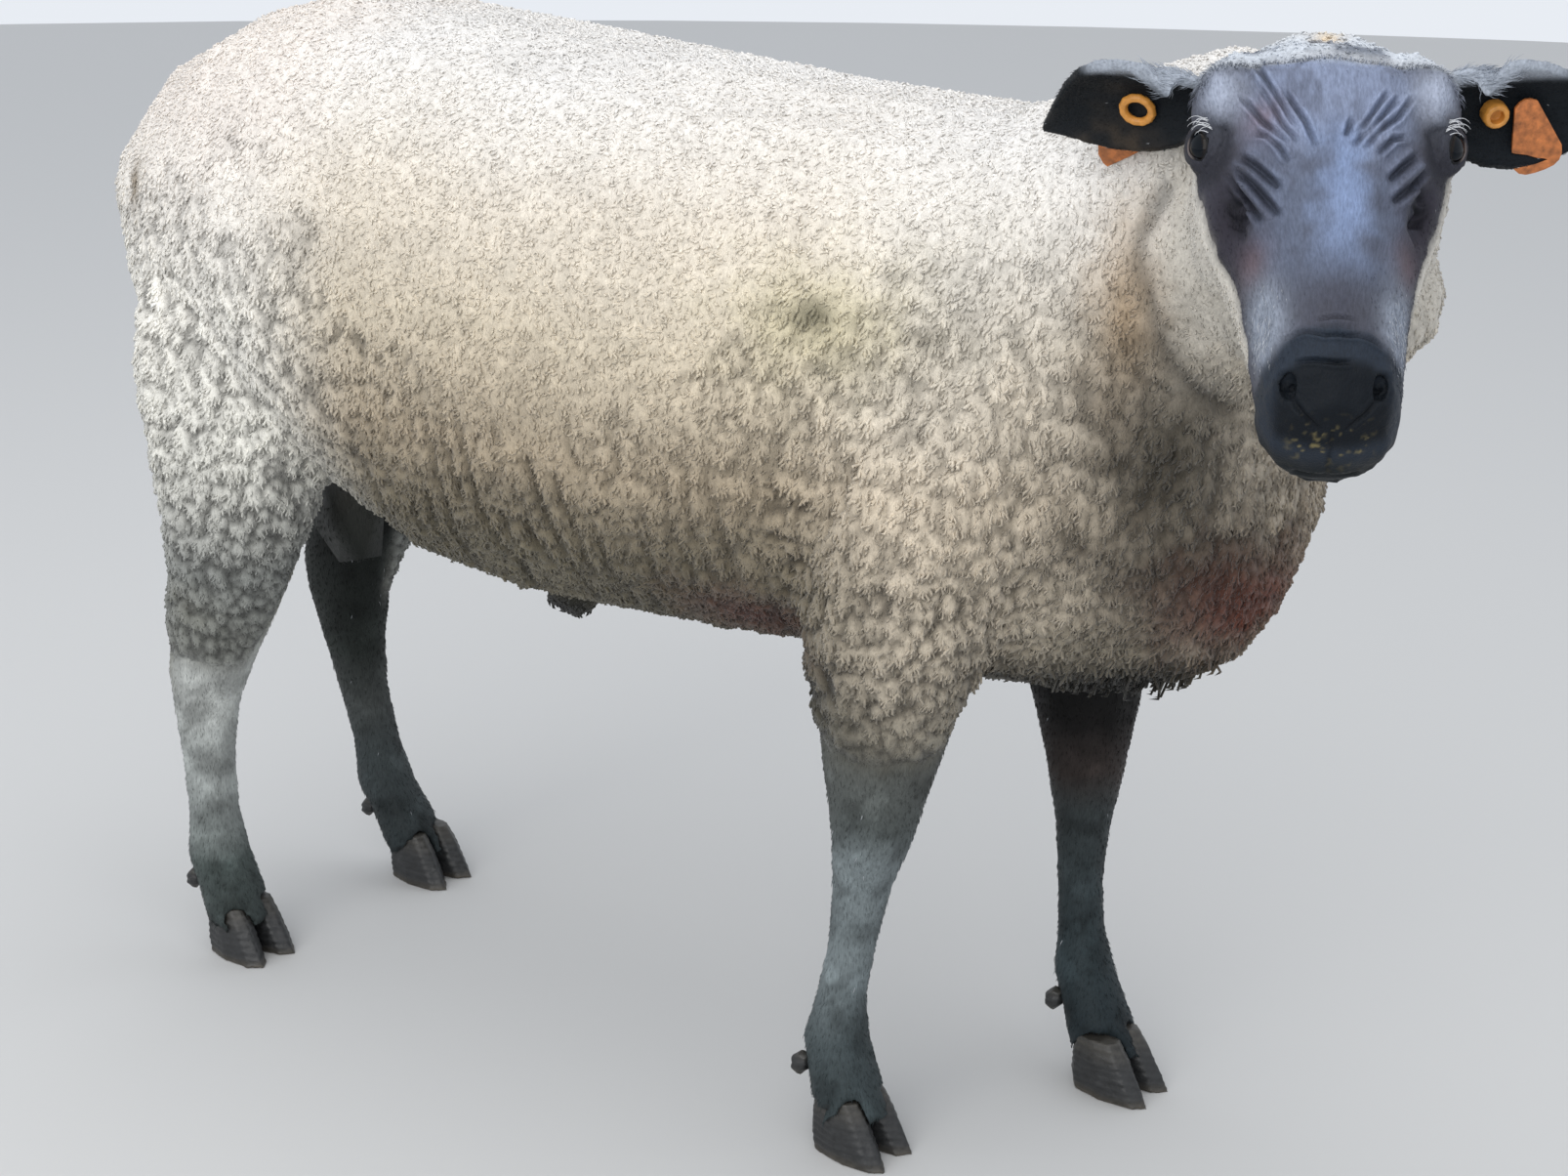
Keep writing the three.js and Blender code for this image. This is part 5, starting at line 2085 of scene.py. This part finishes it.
    def _down(self, roots: Surface) -> Array:
        """The way the wool hangs: down and a little back, along the skin.

        Args:
            roots: the places.

        Returns:
            A direction for each, no longer than one.
        """
        way = np.repeat(np.array([[-0.30, 0.0, -1.0]]), len(roots.points), axis=0)
        top = ease(roots.normals[:, 2], 0.6, 0.95)
        way = way + top[:, None] * np.array([-1.0, 0.0, 0.6])
        way = along_surface(way, roots.normals)
        return way / np.maximum(np.linalg.norm(way, axis=1), 0.35)[:, None]

    def _ragged(self, roots: Surface) -> Array:
        """How ragged the wool is: only under the brisket."""
        near = spot(roots.points, (0.29, 0.03, 0.345), (0.08, 0.08, 0.03))
        return near * ease(roots.normals[:, 2], 0.3, -0.5)

    def _colours(self, where: Surface) -> Array:
        """The wool's colour, with each lock a little lighter or darker and painted shade in the gaps
        between them.
        """
        colour = self.markings.colour_at(where)
        return colour * ((1.0 - where.notes[:, 0]) * (0.94 + 0.10 * where.notes[:, 1]))[:, None]


# ---- short hair


@dataclass(frozen=True)
class HairStyle:
    """One kind of short hair.

    Attributes:
        name: the start of its pieces' names.
        spacing: how far apart the hairs are, in metres.
        length: how long they are, in metres.
        girth: their radius, in metres.
        rise: how steeply they rise from the skin.
        slot: the record's slot for them.
        seed: the number that starts the random choices.
    """

    name: str
    spacing: float
    length: float
    girth: float
    rise: float
    slot: str
    seed: int


FACE_HAIR = HairStyle("face_hair", 0.0021, 0.0028, 0.00017, 0.16, "face", 71)
EAR_HAIR = HairStyle("ear_hair", 0.0030, 0.0026, 0.00018, 0.18, "face", 72)
EAR_FRINGE = HairStyle("ear_fringe", 0.0017, 0.0070, 0.00024, 0.32, "face", 74)
CROWN_HAIR = HairStyle("crown_hair", 0.0017, 0.0046, 0.00030, 0.55, "face", 75)
BODY_HAIR = HairStyle("body_hair", 0.0050, 0.0048, 0.00030, 0.14, "light_leg", 73)


@dataclass
class ShortHair(Cover):
    """The short hair of the face, ears, legs and purse, lying flat.

    Attributes:
        white_share: the share of its hairs that are white.
        stray: how far the hairs stray from the way they lie.
    """

    white_share: float = 0.006
    stray: float = 0.22

    def build(self) -> None:
        """Makes the hair of the face, then that of the rest."""
        bare = 1.0 - self.skin.wool
        local = self.head.local(self.skin.points)
        mouth = ease(local[:, 0], 140.0, 150.0) * share_of(self.skin.parts, Part.HEAD)
        eyes = np.zeros(len(local))
        for opening in self.skin.openings:
            within, distance, _ = opening.inside(local)
            eyes = np.maximum(eyes, ease(within, -2.2, -0.8) * (distance < 30.0))
        face = share_of(self.skin.parts, Part.HEAD, Part.JAW) * bare * (1.0 - mouth) * (1.0 - eyes)
        ears = share_of(self.skin.parts, Part.EAR)
        rest = bare * (1.0 - share_of(self.skin.parts, Part.HEAD, Part.JAW, Part.EAR))
        fringe = self._ear_fringe(local) * bare
        crown = share_of(self.skin.parts, Part.HEAD) * ease(local[:, 0], -29.0, -37.0)
        growth = {
            FACE_HAIR: face * self._face_edge(local),
            EAR_HAIR: ears * (1.0 - fringe),
            EAR_FRINGE: fringe,
            CROWN_HAIR: crown * ease(local[:, 2], -28.0, -14.0),
            BODY_HAIR: rest,
        }
        material = HAIR_FINISH.material()
        for style, weight in growth.items():
            self._coat(style, weight, material)

    def _face_edge(self, local: Array) -> Array:
        """How thickly the face's hair stands: thin on its front, thick on brows, muzzle and cheeks.

        Args:
            local: places in the head's frame.

        Returns:
            A share for each, 0 to 1.
        """
        side = np.abs(local[:, 1])
        mirrored = np.stack([local[:, 0], side, local[:, 2]], axis=1)
        brow = spot(mirrored, (-16.0, 56.0, 20.0), (18.0, 12.0, 14.0))
        muzzle = spot(mirrored, (114.0, 32.0, -10.0), (22.0, 11.0, 16.0))
        cheek = ease(side, 30.0, 46.0) * ease(local[:, 2], 0.0, -14.0)
        crown = ease(local[:, 0], -14.0, -34.0)
        return np.clip(0.5 * brow + 1.2 * muzzle + 0.4 * cheek + 0.2 * crown, 0.0, 1.0)

    def _ear_fringe(self, local: Array) -> Array:
        """Where the long pale hair over the roots of the ears grows.

        Args:
            local: places in the head's frame.

        Returns:
            A share for each, 0 to 1.
        """
        side = np.abs(local[:, 1])
        high = ease(local[:, 2], 7.0, 13.0) * ease(local[:, 0], -18.0, -30.0)
        return high * ease(side, 54.0, 64.0) * ease(side, 96.0, 76.0)

    def _lie(self, roots: Surface) -> Array:
        """The way the hair points: down the nose, out along the ears, down the legs.

        Args:
            roots: the places.

        Returns:
            A direction for each.
        """
        local = self.head.local(roots.points)
        nose = self.head.turned(np.array([1.0, 0.0, -0.1]))
        ears = self.head.turned(np.stack([-0.25 * np.ones(len(local)), np.sign(local[:, 1]),
                                          -0.3 * np.ones(len(local))], axis=1))
        on_ear = share_of(roots.parts, Part.EAR)
        on_face = share_of(roots.parts, Part.HEAD, Part.JAW)
        way = np.repeat(np.array([[-0.12, 0.0, -1.0]]), len(local), axis=0)
        way = blend(way, nose, on_face)
        way = blend(way, ears, on_ear)
        return unit(along_surface(way, roots.normals))

    def _coat(self, style: HairStyle, weight: Array, material: Material) -> None:
        """Makes one coat of hair.

        Args:
            style: its style.
            weight: where it grows, for each of the skin's vertices.
            material: its material.
        """
        roots = scatter(self.skin, style.spacing, weight, style.seed)
        generator = np.random.default_rng(style.seed)
        count = len(roots.points)
        folded = self.head.local(roots.points)
        folded[:, 1] = np.abs(folded[:, 1])
        tuft = spot(folded, (118, 32, -12), (22, 10, 13))
        length = style.length * generator.uniform(0.7, 1.25, count) * (1.0 + 1.4 * tuft)
        lie = self._lie(roots)
        side = np.cross(roots.normals, lie)
        lie = unit(lie + side * generator.normal(0.0, self.stray, count)[:, None])
        rise = style.rise * generator.uniform(0.6, 1.5, count)
        lines = np.stack([
            roots.points - roots.normals * 0.0004,
            roots.points + lie * (0.5 * length)[:, None] + roots.normals * (rise * 0.55 * length)[:, None],
            roots.points + lie * length[:, None] + roots.normals * (rise * 0.70 * length)[:, None],
        ], axis=1)
        radii = style.girth * generator.uniform(0.8, 1.2, count)[:, None] * np.array([1.0, 0.8, 0.0])
        colour = self.markings.colour_at(roots)
        white = (generator.random(count) < self.white_share + 0.5 * tuft).astype(float)
        colour = blend(colour, paint(196, 199, 204), 0.6 * white)
        colour = colour * generator.uniform(0.92, 1.12, count)[:, None]
        # painted shade: each hair darker at its root and lighter at its tip
        colours = np.stack([colour * 0.92, colour * 1.04, colour * 1.12], axis=1).clip(0.0, 0.95)
        tufts = Tufts(lines, radii, side, colours, self.unwrap.places_of(roots.points))
        tufts.pieces(style.name, material, style.slot)


def taper_tube(line: Array, radii: Array, sides: int) -> tuple[Array, list[Array]]:
    """A round closed tube along a line.

    Args:
        line: the line's places.
        radii: the tube's radius at each.
        sides: how many sides it has.

    Returns:
        Its vertices and its faces.
    """
    axis = unit(np.gradient(line, axis=0))
    guide = np.array([0.31, 0.22, 0.92])
    across = unit(np.cross(axis, guide))
    other = np.cross(axis, across)
    turn = np.arange(sides) * 2.0 * math.pi / sides
    ring = across[:, None] * np.cos(turn)[:, None] + other[:, None] * np.sin(turn)[:, None]
    points = (line[:, None] + radii[:, None, None] * ring).reshape(-1, 3)
    first = np.arange(sides)
    ends = np.array([first[::-1], first + (len(line) - 1) * sides])
    return points, [ring_quads(len(line), sides), ends]


def joined(shapes: list[tuple[Array, list[Array]]]) -> tuple[Array, list[Array]]:
    """Several shapes as one.

    Args:
        shapes: the vertices and faces of each.

    Returns:
        The vertices and faces of them all.
    """
    points, faces, start = [], [], 0
    for shape_points, shape_faces in shapes:
        points.append(shape_points)
        faces += [array + start for array in shape_faces]
        start += len(shape_points)
    return np.concatenate(points), faces


# ---- eyes


@dataclass
class Eye:
    """One eyeball with its cornea, iris and level pupil, its lid's rim, and its lashes.

    Attributes:
        name: "left" or "right".
        head: the head's frame.
        opening: the almond between the lids.
        cornea: how far the cornea bulges, in millimetres.
        iris: the radius of the iris, in millimetres.
        pupil: half the pupil's width and half its height, in millimetres.
    """

    name: str
    head: HeadFrame
    opening: EyeOpening
    cornea: float = 0.9
    iris: float = 8.9
    pupil: tuple[float, float] = (6.4, 3.9)

    def build(self) -> None:
        """Makes the eyeball, the rim and the lashes."""
        ball = add_object(f"eyeball_{self.name}", self._ball(), EYE_FINISH.material())
        ride(ball, "eye", f"eye_{self.name}")
        ride(add_object(f"eyelid_rim_{self.name}", self._rim(), LID_FINISH.material()), "face")
        ride(add_object(f"lashes_{self.name}", self._lashes(), HAIR_FINISH.material()), "face")

    def _ball(self, rings: int = 72, spokes: int = 96) -> Mesh:
        """The eyeball: a sphere whose front bulges as the cornea does.

        Args:
            rings: how many steps from the cornea to the back.
            spokes: how many steps round.

        Returns:
            The mesh.
        """
        radius = self.opening.radius - 0.2
        angle = np.linspace(0.0, math.pi, rings + 1)[1:-1]
        turn = np.linspace(0.0, 2.0 * math.pi, spokes, endpoint=False)
        away, around = np.meshgrid(angle, turn, indexing="ij")
        bulge = radius + self.cornea * ease(away, 0.62, 0.30)
        ring = bulge * np.sin(away)
        local = np.stack([ring * np.cos(around), ring * np.sin(around), bulge * np.cos(away)], axis=2)
        local = local.reshape(-1, 3)
        local = np.concatenate([local, [[0.0, 0.0, radius + self.cornea], [0.0, 0.0, -radius]]])
        front = (rings - 1) * spokes
        here, after = np.arange(spokes), (np.arange(spokes) + 1) % spokes
        quads = ring_quads(rings - 1, spokes)[:, [0, 3, 2, 1]]
        last = front - spokes
        caps = np.concatenate([
            np.stack([np.full(spokes, front), here, after], axis=1),
            np.stack([np.full(spokes, front + 1), last + after, last + here], axis=1),
        ])
        places = self.opening.centre + local @ self.opening.axes.T
        mesh = new_mesh(f"eyeball {self.name}", self.head.world(places), [quads, caps])
        set_colour(mesh, self._ball_colours(local))
        return mesh

    def _ball_colours(self, local: Array) -> Array:
        """Pupil, iris, its dark edge and the brownish white, by the distance from the eye's axis.

        Args:
            local: the vertices in the almond's own axes.

        Returns:
            A linear colour for each.
        """
        across, up = local[:, 0], local[:, 1]
        away = np.where(local[:, 2] > 0.0, np.hypot(across, up), 30.0)
        turn = np.arctan2(up, across)
        streaks = drift(np.stack([np.cos(turn) * 3.0, np.sin(turn) * 3.0, away * 0.1], axis=1), 0.22, 81)
        iris = blend(paint(14, 15, 17), paint(34, 26, 20), 0.5 + 0.5 * streaks)
        colour = blend(paint(66, 54, 48), iris, ease(away, 9.6, 8.6))
        colour = blend(colour, paint(14, 11, 10), bell(away - self.iris, 0.9))
        wide, high = self.pupil
        pupil = (np.abs(across) / wide) ** 2.6 + (np.abs(up) / high) ** 2.6
        return blend(colour, paint(3, 9, 16), ease(pupil, 1.35, 0.75))

    def _rim(self, count: int = 96) -> Mesh:
        """The rolled wet edge of both lids, as one closed ring.

        Args:
            count: how many steps round.

        Returns:
            The mesh.
        """
        line = self.opening.edge(count, 0.85)
        centre = line.mean(axis=0)
        out = unit(line - self.opening.centre)
        away = unit(along_surface(line - centre, out))
        turn = np.linspace(0.0, 2.0 * math.pi, 8, endpoint=False)
        across, rise = 0.62 * np.cos(turn)[None, :, None], 0.496 * np.sin(turn)[None, :, None]
        ring = across * away[:, None] + rise * out[:, None]
        points = (line[:, None] + 0.30 * away[:, None] + ring).reshape(-1, 3)
        quads = ring_quads(count, 8, closed=True)[:, [0, 3, 2, 1]]
        mesh = new_mesh(f"eyelid rim {self.name}", self.head.world(points), [quads])
        height = ((points - self.opening.centre) @ self.opening.axes)[:, 1]
        set_colour(mesh, blend(paint(96, 88, 86), paint(16, 17, 20), ease(height, -6.0, -3.0)))
        return mesh

    def _lashes(self, count: int = 11) -> Mesh:
        """The pale curved lashes, which fan out from the upper lid and droop at their ends.

        Args:
            count: how many lashes.

        Returns:
            The mesh.
        """
        generator = np.random.default_rng(82)
        along, up, out = self.opening.axes.T
        t = np.linspace(0.0, 1.0, 9)[:, None]
        shapes = []
        for place in np.linspace(0.0, 1.0, count):
            turn = math.radians(-58.0 + 42.0 * place + generator.normal(0.0, 2.0))
            height = math.radians(24.0 + 14.0 * place + generator.normal(0.0, 3.0))
            toward = math.sin(turn) * along + math.tan(height) * up + math.cos(turn) * out
            root = self.opening.centre + (self.opening.radius + 2.4) * unit(toward)
            length = generator.uniform(7.0, 11.5)
            sweep = 0.70 * out - 0.62 * up + generator.uniform(-0.15, 0.25) * along
            arc = -along * (0.9 * t * (1.0 - t) + generator.uniform(0.0, 0.15) * t)
            line = root + length * (t * sweep + arc + 0.25 * t * (1.0 - t) * out)
            shapes.append(taper_tube(self.head.world(line), MM * np.linspace(0.22, 0.06, 9), 5))
        points, faces = joined(shapes)
        mesh = new_mesh(f"lashes {self.name}", points, faces)
        set_colour(mesh, np.repeat(paint(206, 208, 212)[None], len(points), axis=0))
        return mesh


# ---- horn and tags


def rounded(node: str, grain: float, rounds: int) -> tuple[Array, Array]:
    """A solid's shape with its facets rounded off.

    Args:
        node: the solid's name.
        grain: the size of the new faces.
        rounds: how many rounds of smoothing it gets.

    Returns:
        Its vertices and triangles.
    """
    points, triangles = remeshed(solid_corners(node, swell=0.0), grain)
    pairs, degree = edges_of(points, triangles)
    for _ in range(rounds):
        for step in (0.6, -0.62):
            points = points + step * (neighbour_mean(points, pairs, degree) - points)
    return points, triangles


@dataclass
class Hooves:
    """The claws and dewclaws of the four feet, with growth rings.

    Attributes:
        ring_step: the height between growth rings, in metres.
        ring_height: how far a ring stands out, in metres.
        claw_grain: the size of a claw's faces, in metres.
        dewclaw_grain: the size of a dewclaw's faces, in metres.
    """

    ring_step: float = 0.0052
    ring_height: float = 0.00035
    claw_grain: float = 0.0016
    dewclaw_grain: float = 0.0011

    def build(self) -> None:
        """Makes every claw and dewclaw."""
        material = HORN_FINISH.material()
        for leg in LEGS:
            for side in ("outer", "inner"):
                self._horn(f"claw_{leg}_{side}", self.claw_grain, 10, material)
                self._horn(f"dewclaw_{leg}_{side}", self.dewclaw_grain, 8, material)

    def _horn(self, node: str, grain: float, rounds: int, material: Material) -> None:
        """Makes one piece of horn over its solid.

        Args:
            node: the solid's name.
            grain: the size of its faces.
            rounds: how many rounds of smoothing it gets.
            material: its material.
        """
        points, triangles = rounded(node, grain, rounds)
        normals = vertex_normals(points, triangles)
        low, high = box_of(node)
        height = points[:, 2] - low[2] + 0.0012 * drift(points, 0.01, 91)
        level = 1.0 - np.abs(normals[:, 2])
        rings = np.sin(height * 2.0 * math.pi / self.ring_step) * self.ring_height * level
        rings += 0.0003 * drift(points, 0.006, 92)
        points = points + normals * (rings - 0.0003)[:, None]
        points[:, 2] = np.maximum(points[:, 2], low[2])
        points = np.clip(points, low, high)
        mesh = new_mesh(node, points, [triangles])
        top = ease(height, 0.55 * (high[2] - low[2]), 0.95 * (high[2] - low[2]))
        colour = blend(paint(34, 35, 36), paint(52, 50, 46), top)
        worn = ease(height, 0.008, 0.0)
        colour = blend(colour, paint(78, 72, 62), 0.6 * worn)
        colour = colour * (1.0 + 0.25 * np.sin(height * 2.0 * math.pi / self.ring_step + 1.0))[:, None]
        set_colour(mesh, colour)
        ride(add_object(f"{node}_horn", mesh, material), "hoof_horn", node)


@dataclass
class EarTags:
    """The blank ear tags: a ring and a flag in the right ear, a boss and a flag in the left.

    Attributes:
        grain: the size of the faces of the ring and the boss, in metres.
        bevel: how far the flags' edges are rounded, in metres.
    """

    grain: float = 0.0006
    bevel: float = 0.0006

    def build(self) -> None:
        """Makes the four pieces over their solids."""
        amber, orange = AMBER_FINISH.material(), ORANGE_FINISH.material()
        self._smooth("tag_ring_right", 12, amber, "amber_tag")
        self._smooth("tag_boss_left", 5, amber, "amber_tag")
        for side in ("right", "left"):
            self._flag(f"tag_flag_{side}", orange)

    def _smooth(self, node: str, rounds: int, material: Material, slot: str) -> None:
        """A moulded piece with its facets rounded off.

        Args:
            node: the solid's name.
            rounds: how many rounds of smoothing it gets.
            material: its material.
            slot: the record's slot for it.
        """
        points, triangles = rounded(node, self.grain, rounds)
        ride(add_object(f"{node}_moulding", new_mesh(node, points, [triangles]), material), slot, node)

    def _flag(self, node: str, material: Material) -> None:
        """A flag with its edges rounded.

        Args:
            node: the solid's name.
            material: its material.
        """
        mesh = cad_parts[node].data.copy()
        mesh.materials.clear()
        thing = add_object(f"{node}_plate", mesh, material)
        shape = bmesh.new()
        shape.from_mesh(mesh)
        bmesh.ops.remove_doubles(shape, verts=shape.verts, dist=1e-6)
        bmesh.ops.dissolve_limit(shape, angle_limit=math.radians(2.0), verts=shape.verts, edges=shape.edges)
        shape.to_mesh(mesh)
        shape.free()
        bevel = thing.modifiers.new("edges", "BEVEL")
        bevel.width = self.bevel
        bevel.segments = 3
        bevel.limit_method = "ANGLE"
        bevel.angle_limit = math.radians(35.0)
        thing.data = evaluated_mesh(thing)
        thing.modifiers.clear()
        thing.data.polygons.foreach_set("use_smooth", np.ones(len(thing.data.polygons), dtype=bool))
        ride(thing, "orange_tag", node)


# ---- the room


@dataclass
class Studio:
    """A pale floor, soft light and the camera.

    Attributes:
        lens: the camera's focal length in millimetres, for a 36 mm wide picture.
        from_eyes: the camera's place from the place midway between the eyes.
        heading: the way it looks, in degrees from +X towards +Y.
        pitch: how far it looks down, in degrees.
        roll: how far it is rolled, in degrees.
        floor_radius: the floor's radius, in metres.
        floor_sides: how many sides the floor has.
    """

    lens: float = 56.04
    from_eyes: Triple = (0.406, -1.220, 0.162)
    heading: float = 120.7
    pitch: float = 17.7
    roll: float = -0.65
    floor_radius: float = 9.0
    floor_sides: int = 64

    def build(self, head: HeadFrame) -> None:
        """Makes the floor, the lights and the camera.

        Args:
            head: the head's frame.
        """
        self._floor()
        self._lights()
        self._camera(head)

    def _floor(self) -> None:
        """A plain round floor."""
        turn = np.linspace(0.0, 2.0 * math.pi, self.floor_sides, endpoint=False)
        points = self.floor_radius * np.stack([np.cos(turn), np.sin(turn), 0.0 * turn], axis=1)
        material = bpy.data.materials.new("pale floor")
        material.use_nodes = True
        shader = material.node_tree.nodes["Principled BSDF"]
        plug(material.node_tree, shader, {"Base Color": (0.56, 0.56, 0.555, 1.0), "Roughness": 0.85})
        mesh = new_mesh("floor", points, [np.arange(self.floor_sides)[None]])
        add_object("floor", mesh, material)

    def _lights(self) -> None:
        """A bright even sky, a large soft light above, and a weaker one in front."""
        world = bpy.data.worlds.new("sky")
        world.use_nodes = True
        background = world.node_tree.nodes["Background"]
        plug(world.node_tree, background, {"Color": (0.90, 0.94, 1.0, 1.0), "Strength": 0.90})
        bpy.context.scene.world = world
        self._lamp("above", (0.2, -0.4, 3.2), (0.0, 0.0, 0.5), 3.4, 30.0, (1.0, 0.98, 0.95))
        self._lamp("front", (0.5, -3.0, 1.9), (0.0, 0.0, 0.5), 3.4, 70.0, (1.0, 0.99, 0.97))

    def _lamp(
        self, name: str, place: Triple, aim: Triple, size: float,
        power: float, colour: Triple,
    ) -> None:
        """Adds one square soft light.

        Args:
            name: its name.
            place: where it hangs.
            aim: the place it points at.
            size: its side, in metres.
            power: its power, in watts.
            colour: its colour.
        """
        light = bpy.data.lights.new(name, "AREA")
        light.size = size
        light.energy = power
        light.color = colour
        lamp = bpy.data.objects.new(name, light)
        lamp.location = place
        lamp.rotation_euler = (Vector(aim) - Vector(place)).to_track_quat("-Z", "Y").to_euler()
        bpy.context.scene.collection.objects.link(lamp)

    def _camera(self, head: HeadFrame) -> None:
        """Sets the camera by the animal's eyes.

        Args:
            head: the head's frame.
        """
        heading, pitch, roll = (math.radians(angle) for angle in (self.heading, self.pitch, self.roll))
        forward = np.array([math.cos(heading) * math.cos(pitch), math.sin(heading) * math.cos(pitch),
                            -math.sin(pitch)])
        right = np.array([math.sin(heading), -math.cos(heading), 0.0])
        down = np.cross(forward, right)
        right, down = (math.cos(roll) * right + math.sin(roll) * down,
                       math.cos(roll) * down - math.sin(roll) * right)
        data = bpy.data.cameras.new("camera")
        data.lens = self.lens
        data.sensor_width = 36.0
        data.clip_start = 0.05
        camera = bpy.data.objects.new("camera", data)
        place = head.origin + np.array(self.from_eyes)
        turn = Matrix(np.stack([right, -down, -forward], axis=1).tolist()).to_4x4()
        camera.matrix_world = Matrix.Translation(Vector(place)) @ turn
        bpy.context.scene.collection.objects.link(camera)
        bpy.context.scene.camera = camera
        bpy.context.scene.view_settings.view_transform = "Standard"


# ---- the whole animal


def eye_opening(side: float, head: HeadFrame) -> EyeOpening:
    """The almond over the eyeball on one side; `side` is 1 for the left.

    Args:
        side: 1 for the left eye, -1 for the right.
        head: the head's frame.

    Returns:
        The almond.
    """
    node = "eye_left" if side > 0 else "eye_right"
    low, high = box_of(node)
    radius = float((high - low)[2]) / 2.0 / MM
    return EyeOpening(side, head.local(centre_of(node)[None])[0], radius)


def main() -> None:
    """Builds the animal and its room."""
    logging.basicConfig(level=logging.INFO, format="%(asctime)s %(name)s: %(message)s")
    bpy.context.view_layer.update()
    head = HeadFrame.between_eyes()
    openings = (eye_opening(-1.0, head), eye_opening(1.0, head))
    markings = Markings(head)
    skin = Skin(head=head, openings=openings)
    skin.shape()
    unwrap = Unwrap(skin)
    for cover in (BareSkin, Fleece, ShortHair):
        cover(skin, markings, unwrap).build()
    for name, opening in zip(("right", "left"), openings):
        Eye(name, head, opening).build()
    Hooves().build()
    EarTags().build()
    Studio().build(head)


if __name__ == "__main__":
    main()
